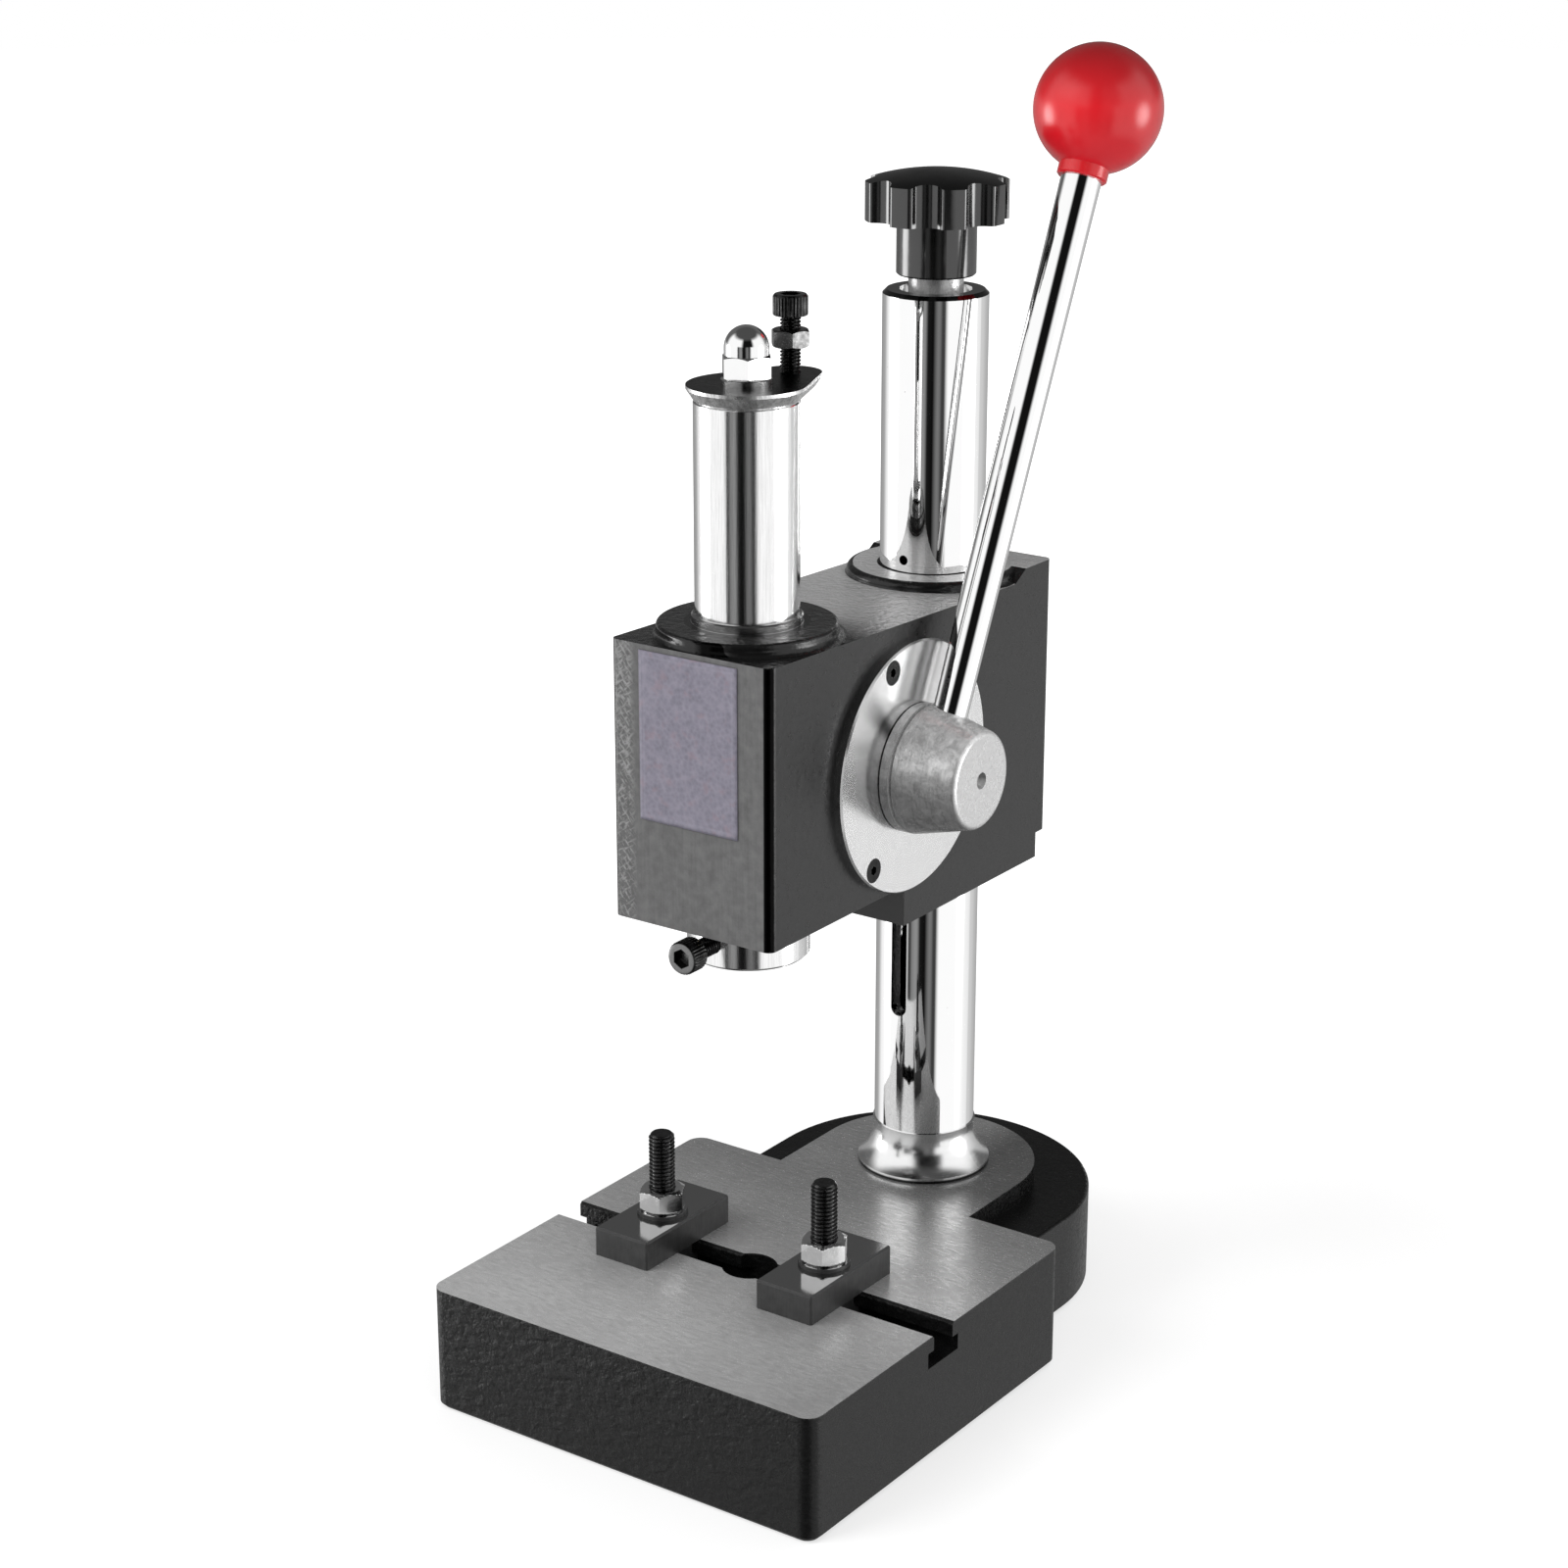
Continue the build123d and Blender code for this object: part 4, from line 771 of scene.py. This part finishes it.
def capHead(radius, height, chamfer, socket, socketDepth, ribs, ribDepth, around):
    # a drum whose radius waves with the ribs, chamfered on top, its six-sided hole sunk by the last rings
    turn = np.linspace(0.0, 2 * np.pi, around, endpoint=False)
    ribbed = radius - ribDepth * (0.5 + 0.5 * np.cos(ribs * turn))
    plain = np.full(around, radius - chamfer)
    hole = hexRadius(turn, socket)
    rings = [(plain, 0.0), (np.minimum(ribbed, radius - ribDepth), 0.0), (ribbed, chamfer * 0.6),
             (ribbed, height - chamfer * 1.6), (np.full(around, radius - ribDepth), height - chamfer * 0.9),
             (plain, height - chamfer * 0.15), (plain - chamfer * 0.4, height), (hole * 1.06, height),
             (hole, height - socket * 0.03), (hole, height - socketDepth),
             (hole * 0.5, height - socketDepth * 1.04)]
    radii = np.array([ring for ring, level in rings])
    levels = np.array([np.full(around, level) for ring, level in rings])
    return radii, levels


def boxMiddle(low, high):
    # the middle of a box's foot
    return ((low[0] + high[0]) / 2, (low[1] + high[1]) / 2, low[2])


studThread = {"pitch": 0.00125, "depth": 0.00066, "lead": 0.0009, "around": 48, "rowsPerTurn": 10}


def clampStuds(material):
    # one screwed rod for each clamp, as tall as its plain node
    for side in ("left", "right"):
        node = "clamp_stud_" + side
        low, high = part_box(node)
        radii, heights = threadedRod(high[2] - low[2], (high[0] - low[0]) / 2, **studThread)
        shape = turnedShape(radii, heights, boxMiddle(low, high), (0, 0, 1), (1, 0, 0))
        makePiece("threaded_stud_" + side, [shape], material, side + "_carriage", node)


def loopShape(radii, heights, origin):
    # point = origin + radius (cos turn, sin turn, 0) + height up; the last ring joins the first
    rings, around = radii.shape
    turn = np.linspace(0.0, 2 * np.pi, around, endpoint=False)
    points = np.stack([origin[0] + radii * np.cos(turn), origin[1] + radii * np.sin(turn),
                       origin[2] + heights], axis=-1).reshape(-1, 3)
    return points, ringQuads(rings, around, looped=True).tolist()


clampNut = {"acrossFlats": 0.013, "bore": 0.0039, "boreChamfer": 0.0003, "chamferRise": 0.0016,
            "faceRadius": 0.0059, "rings": 9, "around": 240, "turn": 30.0, "coneSlope": 1.75, "ringEase": 1.3}


def nutShape(low, high):
    # rings of a hexagon's radius, cut by a cone at top and bottom; the bore joins the last ring to the first
    height = high[2] - low[2]
    turn = np.linspace(0.0, 2 * np.pi, clampNut["around"], endpoint=False)
    hexagon = hexRadius(turn + np.radians(clampNut["turn"]), clampNut["acrossFlats"])
    rise = clampNut["chamferRise"] * np.linspace(0.0, 1.0, clampNut["rings"]) ** clampNut["ringEase"]
    cone = clampNut["faceRadius"] + rise * clampNut["coneSlope"]
    lowRings = [np.minimum(hexagon, reach) for reach in cone]
    bore = np.full(turn.size, clampNut["bore"])
    chamfer = clampNut["boreChamfer"]
    rings = [bore + chamfer] + lowRings + lowRings[::-1] + [bore + chamfer, bore, bore]
    levels = [0.0] + rise.tolist() + (height - rise[::-1]).tolist() + [height, height - chamfer, chamfer]
    radii = np.array(rings)
    heights = np.repeat(np.array(levels)[:, None], turn.size, axis=1)
    return loopShape(radii, heights, boxMiddle(low, high))


def clampNuts(material):
    # one hexagon nut for each clamp, a corner towards the press's right side
    for side in ("left", "right"):
        node = "clamp_nut_" + side
        makePiece("hexagon_nut_" + side, [nutShape(*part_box(node))], material, side + "_carriage",
                  node, smoothAngle=22.0)


smallScrew = {"thread": {"pitch": 0.001, "depth": 0.00052, "lead": 0.0006, "around": 48, "rowsPerTurn": 9},
              "head": {"radius": 0.005, "height": 0.006, "chamfer": 0.00045, "socket": 0.005,
                       "socketDepth": 0.0028, "ribs": 32, "ribDepth": 0.00022, "around": 192}}


def socketScrew(name, node, body, axis, radius, material):
    # screwed shank below the head's seat, ribbed head above it, along the axis and as long as the plain node
    low, high = (np.asarray(corner, float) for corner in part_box(node))
    axis = np.asarray(axis, float)
    whole = (high - low) @ np.abs(axis)
    headHeight = smallScrew["head"]["height"]
    seat = (low + high) / 2 + axis * (whole / 2 - headHeight)
    radii, heights = threadedRod(whole - headHeight, radius, **smallScrew["thread"])
    shank = turnedShape(radii, heights - (whole - headHeight), seat, axis, (1, 0, 0))
    head = turnedShape(*capHead(**smallScrew["head"]), seat, axis, (1, 0, 0))
    return makePiece(name, [shank, head], material, body, node)


def labelPiece(material):
    # a flat grid of even steps across and up, just in front of the head, given its thickness
    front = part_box("head_casting")[0][1]
    columns, rows = labelPlate["columns"], labelPlate["rows"]
    across, up = np.meshgrid(np.linspace(labelPlate["left"], labelPlate["right"], columns + 1),
                             np.linspace(labelPlate["bottom"], labelPlate["top"], rows + 1), indexing="ij")
    points = np.stack([across, np.full(across.shape, front - labelPlate["gap"]), up], axis=-1).reshape(-1, 3)
    first = (np.arange(columns)[:, None] * (rows + 1) + np.arange(rows)[None, :]).ravel()
    faces = np.stack([first, first + rows + 1, first + rows + 2, first + 1], axis=-1)
    piece = makePiece("label_plate", [(points, faces.tolist())], material, "head")
    sheet = piece.modifiers.new("thickness", "SOLIDIFY")
    sheet.thickness = labelPlate["thickness"]
    sheet.offset = 1.0
    return piece


springCoil = {"turns": 13.0, "wireHeight": 0.0014, "wireWidth": 0.0018, "corner": 0.0004, "stepsPerTurn": 48,
              "stroke": 0.042, "spare": 0.0006}


def wireOutline(halfWide, halfTall, corner):
    # a rectangle with round corners: three points on each quarter arc, outward and upward of its middle
    arc = np.radians(np.array([0.0, 45.0, 90.0]))
    arcs = np.concatenate([arc + quarter * np.pi / 2 for quarter in range(4)])
    outward = np.repeat([1.0, -1.0, -1.0, 1.0], 3) * (halfWide - corner) + corner * np.cos(arcs)
    upward = np.repeat([1.0, 1.0, -1.0, -1.0], 3) * (halfTall - corner) + corner * np.sin(arcs)
    return outward, upward


def springPiece(material):
    # the wire's outline carried up a helix: it turns by 2 pi for each coil while it rises evenly
    low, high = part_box("return_spring")
    middle = boxMiddle(low, high)
    height = high[2] - low[2]
    halfWide, halfTall = springCoil["wireWidth"] / 2, springCoil["wireHeight"] / 2
    outward, upward = wireOutline(halfWide, halfTall, springCoil["corner"])
    steps = int(springCoil["turns"] * springCoil["stepsPerTurn"]) + 1
    share = np.linspace(0.0, 1.0, steps)[:, None]
    turn = share * springCoil["turns"] * 2 * np.pi
    radius = (high[0] - low[0]) / 2 - halfWide + outward[None, :]
    level = halfTall + share * (height - 2 * halfTall) + upward[None, :]
    points = np.stack([middle[0] + radius * np.cos(turn), middle[1] + radius * np.sin(turn),
                       middle[2] + level], axis=-1).reshape(-1, 3)
    around = outward.size
    quads = ringQuads(steps, around)[:, [0, 3, 2, 1]]
    first = np.arange(around)
    ends = [first.tolist(), (first + (steps - 1) * around)[::-1].tolist()]
    piece = makePiece("spring_coil", [(points, quads.tolist() + ends)], material, "head",
                      "return_spring")
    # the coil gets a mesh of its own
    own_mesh(piece)
    return piece


print("finishes")
finishes = {
    "cast_black": baseFinish(), "head_paint": headFinish(), "chrome": chromeFinish(),
    "black_oxide": oxideFinish(), "zinc_plate": plateFinish("brightPlate", (0.72, 0.92), (0.10, 0.20)),
    "turned_steel": hubFinish(), "bush_steel": bushFinish(), "flange_steel": flangeFinish(),
    "ram_steel": satinFinish("ramSteel", 0.93, (0.13, 0.08), 0.0005, (1.0, 1.0, 0.04)),
    "gear_steel": satinFinish("gearSteel", 0.42, (0.40, 0.24), 0.0006, evenly),
    "spring_steel": satinFinish("springSteel", 0.34, (0.36, 0.22), 0.0008, evenly),
    "bronze": bronzeFinish(), "black_plastic": knobFinish(), "red_plastic": ballFinish(),
}
screwBlack = bluedFinish("screwBlack", (0.035, 0.12), (0.30, 0.16))
toolScrewBlack = bluedFinish("toolScrewBlack", (0.012, 0.040), (0.30, 0.18), endAxis=1, paintedEndLevel=0.20)
stopScrewBlack = bluedFinish("stopScrewBlack", (0.012, 0.045), (0.28, 0.16), endAxis=2, paintedEndLevel=0.10)
# nodes that don't wear their slot's finish
ownFinish = {
    "clamp_washer_left": finishes["black_oxide"], "clamp_washer_right": finishes["black_oxide"],
    "column_foot": footFinish(), "stop_plate": stopPlateFinish(), "guide_screw": screwBlack,
    "acorn_nut": plateFinish("domedNut", (0.93, 0.98), (0.04, 0.08)),
    "stop_lock_nut": bluedFinish("lockNut", (0.08, 0.18), (0.34, 0.22)),
    "flange_screws": bluedFinish("flangeScrew", (0.012, 0.035), (0.30, 0.20)),
}
for subpart in frame["record"]["subparts"]:
    for materialSlot in nodes[subpart["node"]].material_slots:
        materialSlot.material = ownFinish.get(subpart["node"], finishes[subpart["material_slot"]])

print("screws, spring and plate")
clampStuds(screwBlack)
clampNuts(finishes["zinc_plate"])
springPiece(finishes["spring_steel"])
socketScrew("stop_screw_threaded", "stop_screw", "depth_stop", (0, 0, 1), 0.003, stopScrewBlack)
socketScrew("tool_screw_threaded", "tool_clamp_screw", "tool_screw", (0, -1, 0), 0.00296, toolScrewBlack)
labelPiece(labelFinish())

cameraSet = {"place": (0.5306, -0.7298, 0.4941), "around": 35.361, "down": 18.454, "lens": 75.9,
             "sensor": 36.0}


def standing(side, up, back, spot):
    # the matrix whose columns are an object's three directions and its place
    matrix = np.eye(4)
    matrix[:3, :] = np.column_stack([side, up, back, spot])
    return Matrix(matrix.tolist())


def cameraFrame():
    # right, up and forward of a level camera turned about Z and tipped down
    turn, tip = np.radians(cameraSet["around"]), np.radians(cameraSet["down"])
    right = np.array([np.cos(turn), np.sin(turn), 0.0])
    up = np.array([-np.sin(turn) * np.sin(tip), np.cos(turn) * np.sin(tip), np.cos(tip)])
    forward = -np.array([np.sin(turn) * np.cos(tip), -np.cos(turn) * np.cos(tip), np.sin(tip)])
    return right, up, forward


print("camera")
right, up, forward = cameraFrame()
lens = bpy.data.cameras.new("camera")
lens.lens = cameraSet["lens"]
lens.sensor_width = cameraSet["sensor"]
camera = bpy.data.objects.new("camera", lens)
bpy.context.scene.collection.objects.link(camera)
camera.matrix_world = standing(right, up, -forward, cameraSet["place"])
bpy.context.scene.camera = camera

studio = {"ambient": 0.46, "overhead": 0.07, "backAbove": 0.12, "below": 0.24, "bandDark": 0.006,
          # degrees from the camera: the back's start and the front's end, the dark band's middle and widths
          "backFrom": (104, 124), "frontTo": (60, 50), "bandMiddle": 7.0, "bandWidths": (20.0, 38.0),
          # sines of the heights where what is in front, behind, overhead and below sets in
          "frontRise": (0.10, 0.22), "backRise": (0.0, 0.10), "overheadRise": (0.58, 0.82),
          "belowRise": (-0.50, -0.74),
          # azimuth, elevation and reach in degrees, and power
          "softLights": ((-103, -9, 16, 7.0), (80, -7, 19, 7.0)),
          # what shiny metal sees round about: degrees from the camera to its right, and brightness
          "bands": ((-180, 0.25), (-140, 0.38), (-124, 0.9), (-112, 1.0), (-50, 1.0), (-46, 0.75),
                    (-43.5, 0.045), (-40, 0.045), (-36, 0.20), (-28, 0.27), (-24, 0.25), (-18, 0.01),
                    (-6, 0.004), (0, 0.12), (4, 0.18), (8, 0.16), (13, 0.045), (18, 0.045), (22, 0.6),
                    (26, 1.0), (90, 1.0), (104, 0.84), (118, 0.66), (137, 0.49), (165, 0.36), (180, 0.25))}


def towards(tree, way, direction):
    # how far a ray's way points in the direction: 1 straight at it, -1 straight away
    dot = addNode(tree, "ShaderNodeVectorMath", operation="DOT_PRODUCT")
    tree.links.new(way, dot.inputs[0])
    dot.inputs[1].default_value = direction
    return dot.outputs["Value"]


def bandRamp(tree, angle):
    # brightness by the angle from the camera, in degrees as the bands give it
    share = plus(tree, times(tree, angle, 1 / (2 * np.pi)), 0.5)
    ramp = addNode(tree, "ShaderNodeValToRGB")
    stops = ramp.color_ramp.elements
    bands = studio["bands"]
    for stop, (degrees, level) in zip(stops, (bands[0], bands[-1])):
        stop.position = degrees / 360 + 0.5
        stop.color = grey(level)
    for degrees, level in bands[1:-1]:
        stops.new(degrees / 360 + 0.5).color = grey(level)
    tree.links.new(share, ramp.inputs[0])
    return ramp.outputs[0]


def studioWorld():
    # white for the camera; metal sees bands of light and dark; other rays get an even level
    world = bpy.data.worlds.new("studio")
    bpy.context.scene.world = world
    world.use_nodes = True
    tree = world.node_tree
    tree.nodes.clear()
    output = addNode(tree, "ShaderNodeOutputWorld")
    sky = addNode(tree, "ShaderNodeBackground")
    tree.links.new(sky.outputs[0], output.inputs[0])
    way = addNode(tree, "ShaderNodeTexCoord").outputs["Generated"]
    turn = np.radians(cameraSet["around"])
    toRight = towards(tree, way, (np.cos(turn), np.sin(turn), 0.0))
    toCamera = towards(tree, way, (np.sin(turn), -np.cos(turn), 0.0))
    rise = towards(tree, way, (0.0, 0.0, 1.0))
    angle = calc(tree, "ARCTAN2", toRight, toCamera)
    aside = calc(tree, "ABSOLUTE", angle)
    # in front and above, one dark band; two soft lights left and right at the ball's height
    off = calc(tree, "ABSOLUTE", calc(tree, "SUBTRACT", angle, np.radians(studio["bandMiddle"])))
    band = greys(tree, spread(tree, off, *np.radians(studio["bandWidths"]), smooth=True),
                 studio["bandDark"], 1.0)
    frontUp = times(tree, spread(tree, rise, *studio["frontRise"]),
                    spread(tree, aside, *np.radians(studio["frontTo"])))
    front = blend(tree, frontUp, bandRamp(tree, angle), band)
    for azimuth, elevation, reach, power in studio["softLights"]:
        turnTo, lift = np.radians(azimuth) + turn, np.radians(elevation)
        direction = (np.cos(lift) * np.sin(turnTo), -np.cos(lift) * np.cos(turnTo), np.sin(lift))
        glow = spread(tree, towards(tree, way, direction), np.cos(np.radians(reach)), 1.0, smooth=True)
        front = blend(tree, glow, front, grey(power))
    # behind, a plain grey above the floor's level; overhead and far below, dark
    behind = times(tree, spread(tree, aside, *np.radians(studio["backFrom"])),
                   spread(tree, rise, *studio["backRise"]))
    shiny = blend(tree, behind, front, grey(studio["backAbove"]))
    shiny = blend(tree, spread(tree, rise, *studio["overheadRise"], smooth=True), shiny,
                  grey(studio["overhead"]))
    shiny = blend(tree, spread(tree, rise, *studio["belowRise"], smooth=True), shiny, grey(studio["below"]))
    path = addNode(tree, "ShaderNodeLightPath")
    seen = calc(tree, "MAXIMUM", path.outputs["Is Camera Ray"], path.outputs["Is Transmission Ray"])
    colour = blend(tree, path.outputs["Is Glossy Ray"], grey(studio["ambient"]), shiny)
    wire(tree, blend(tree, seen, colour, grey(1.0)), sky.inputs["Color"])
    world.cycles.sampling_method = "NONE"


floorLook = {"glow": (0.62, 1.0), "glowReach": (0.22, 0.55), "shade": 0.46, "bounce": 0.75, "radius": 4.0,
             "rings": 40, "around": 96, "below": 0.00005}


def floorFinish():
    # pale: the camera sees white less the shadow, other rays a plain white board
    material = bpy.data.materials.new("floorPale")
    material.use_nodes = True
    tree = material.node_tree
    tree.nodes.clear()
    output = addNode(tree, "ShaderNodeOutputMaterial")
    path = addNode(tree, "ShaderNodeLightPath")
    board = addNode(tree, "ShaderNodeBsdfDiffuse")
    wire(tree, greys(tree, path.outputs["Is Camera Ray"], floorLook["bounce"], floorLook["shade"]),
         board.inputs["Color"])
    x, y, _ = axes(tree)
    level = spread(tree, distance(tree, x, y), *floorLook["glowReach"], *floorLook["glow"], smooth=True)
    glow = addNode(tree, "ShaderNodeEmission")
    wire(tree, times(tree, path.outputs["Is Camera Ray"], level), glow.inputs["Strength"])
    both = addNode(tree, "ShaderNodeAddShader")
    tree.links.new(board.outputs[0], both.inputs[0])
    tree.links.new(glow.outputs[0], both.inputs[1])
    tree.links.new(both.outputs[0], output.inputs[0])
    return material


def studioFloor():
    # a disc just under the base: rings of points from the centre out, spaced by the square of their number
    rings, around = floorLook["rings"], floorLook["around"]
    reach = floorLook["radius"] * (np.arange(1, rings + 1) / rings) ** 2
    radii = np.repeat(reach[:, None], around, axis=1)
    vertices, faces = turnedShape(radii, np.zeros(radii.shape), (0.0, 0.0, -floorLook["below"]), (0, 0, -1),
                                  (1, 0, 0))
    # the middle's fan stays and the outer ring's is left off
    faces = [face for face in faces if len(face) == 4 or rings * around in face]
    mesh = bpy.data.meshes.new("floor")
    mesh.from_pydata(vertices[:-1].tolist(), [], faces)
    floor = bpy.data.objects.new("floor", mesh)
    bpy.context.scene.collection.objects.link(floor)
    mesh.materials.append(floorFinish())
    floor.visible_glossy = False
    floor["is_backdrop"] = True


lamps = {
    "key": {"place": (-0.9, -1.3, 1.5), "size": (1.2, 1.2), "power": 26.0},
    "fill": {"place": (1.5, -0.9, 1.1), "size": (1.2, 1.4), "power": 11.5},
    "rear": {"place": (0.3, 1.6, 1.5), "size": (1.4, 1.0), "power": 10.0},
}


def studioLamps():
    # three soft panels aimed at the middle of the press
    low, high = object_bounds()
    target = (np.asarray(low) + np.asarray(high)) / 2
    for name, values in lamps.items():
        light = bpy.data.lights.new(name, "AREA")
        light.shape = "RECTANGLE"
        light.size, light.size_y = values["size"]
        light.energy = values["power"]
        lamp = bpy.data.objects.new(name, light)
        bpy.context.scene.collection.objects.link(lamp)
        back = np.asarray(values["place"]) - target
        back = back / np.linalg.norm(back)
        side = np.cross((0.0, 0.0, 1.0), back)
        side = side / np.linalg.norm(side)
        lamp.matrix_world = standing(side, np.cross(back, side), back, values["place"])
        lamp.visible_glossy = False


print("studio")
studioWorld()
studioFloor()
studioLamps()
bpy.context.scene.view_settings.view_transform = "Standard"
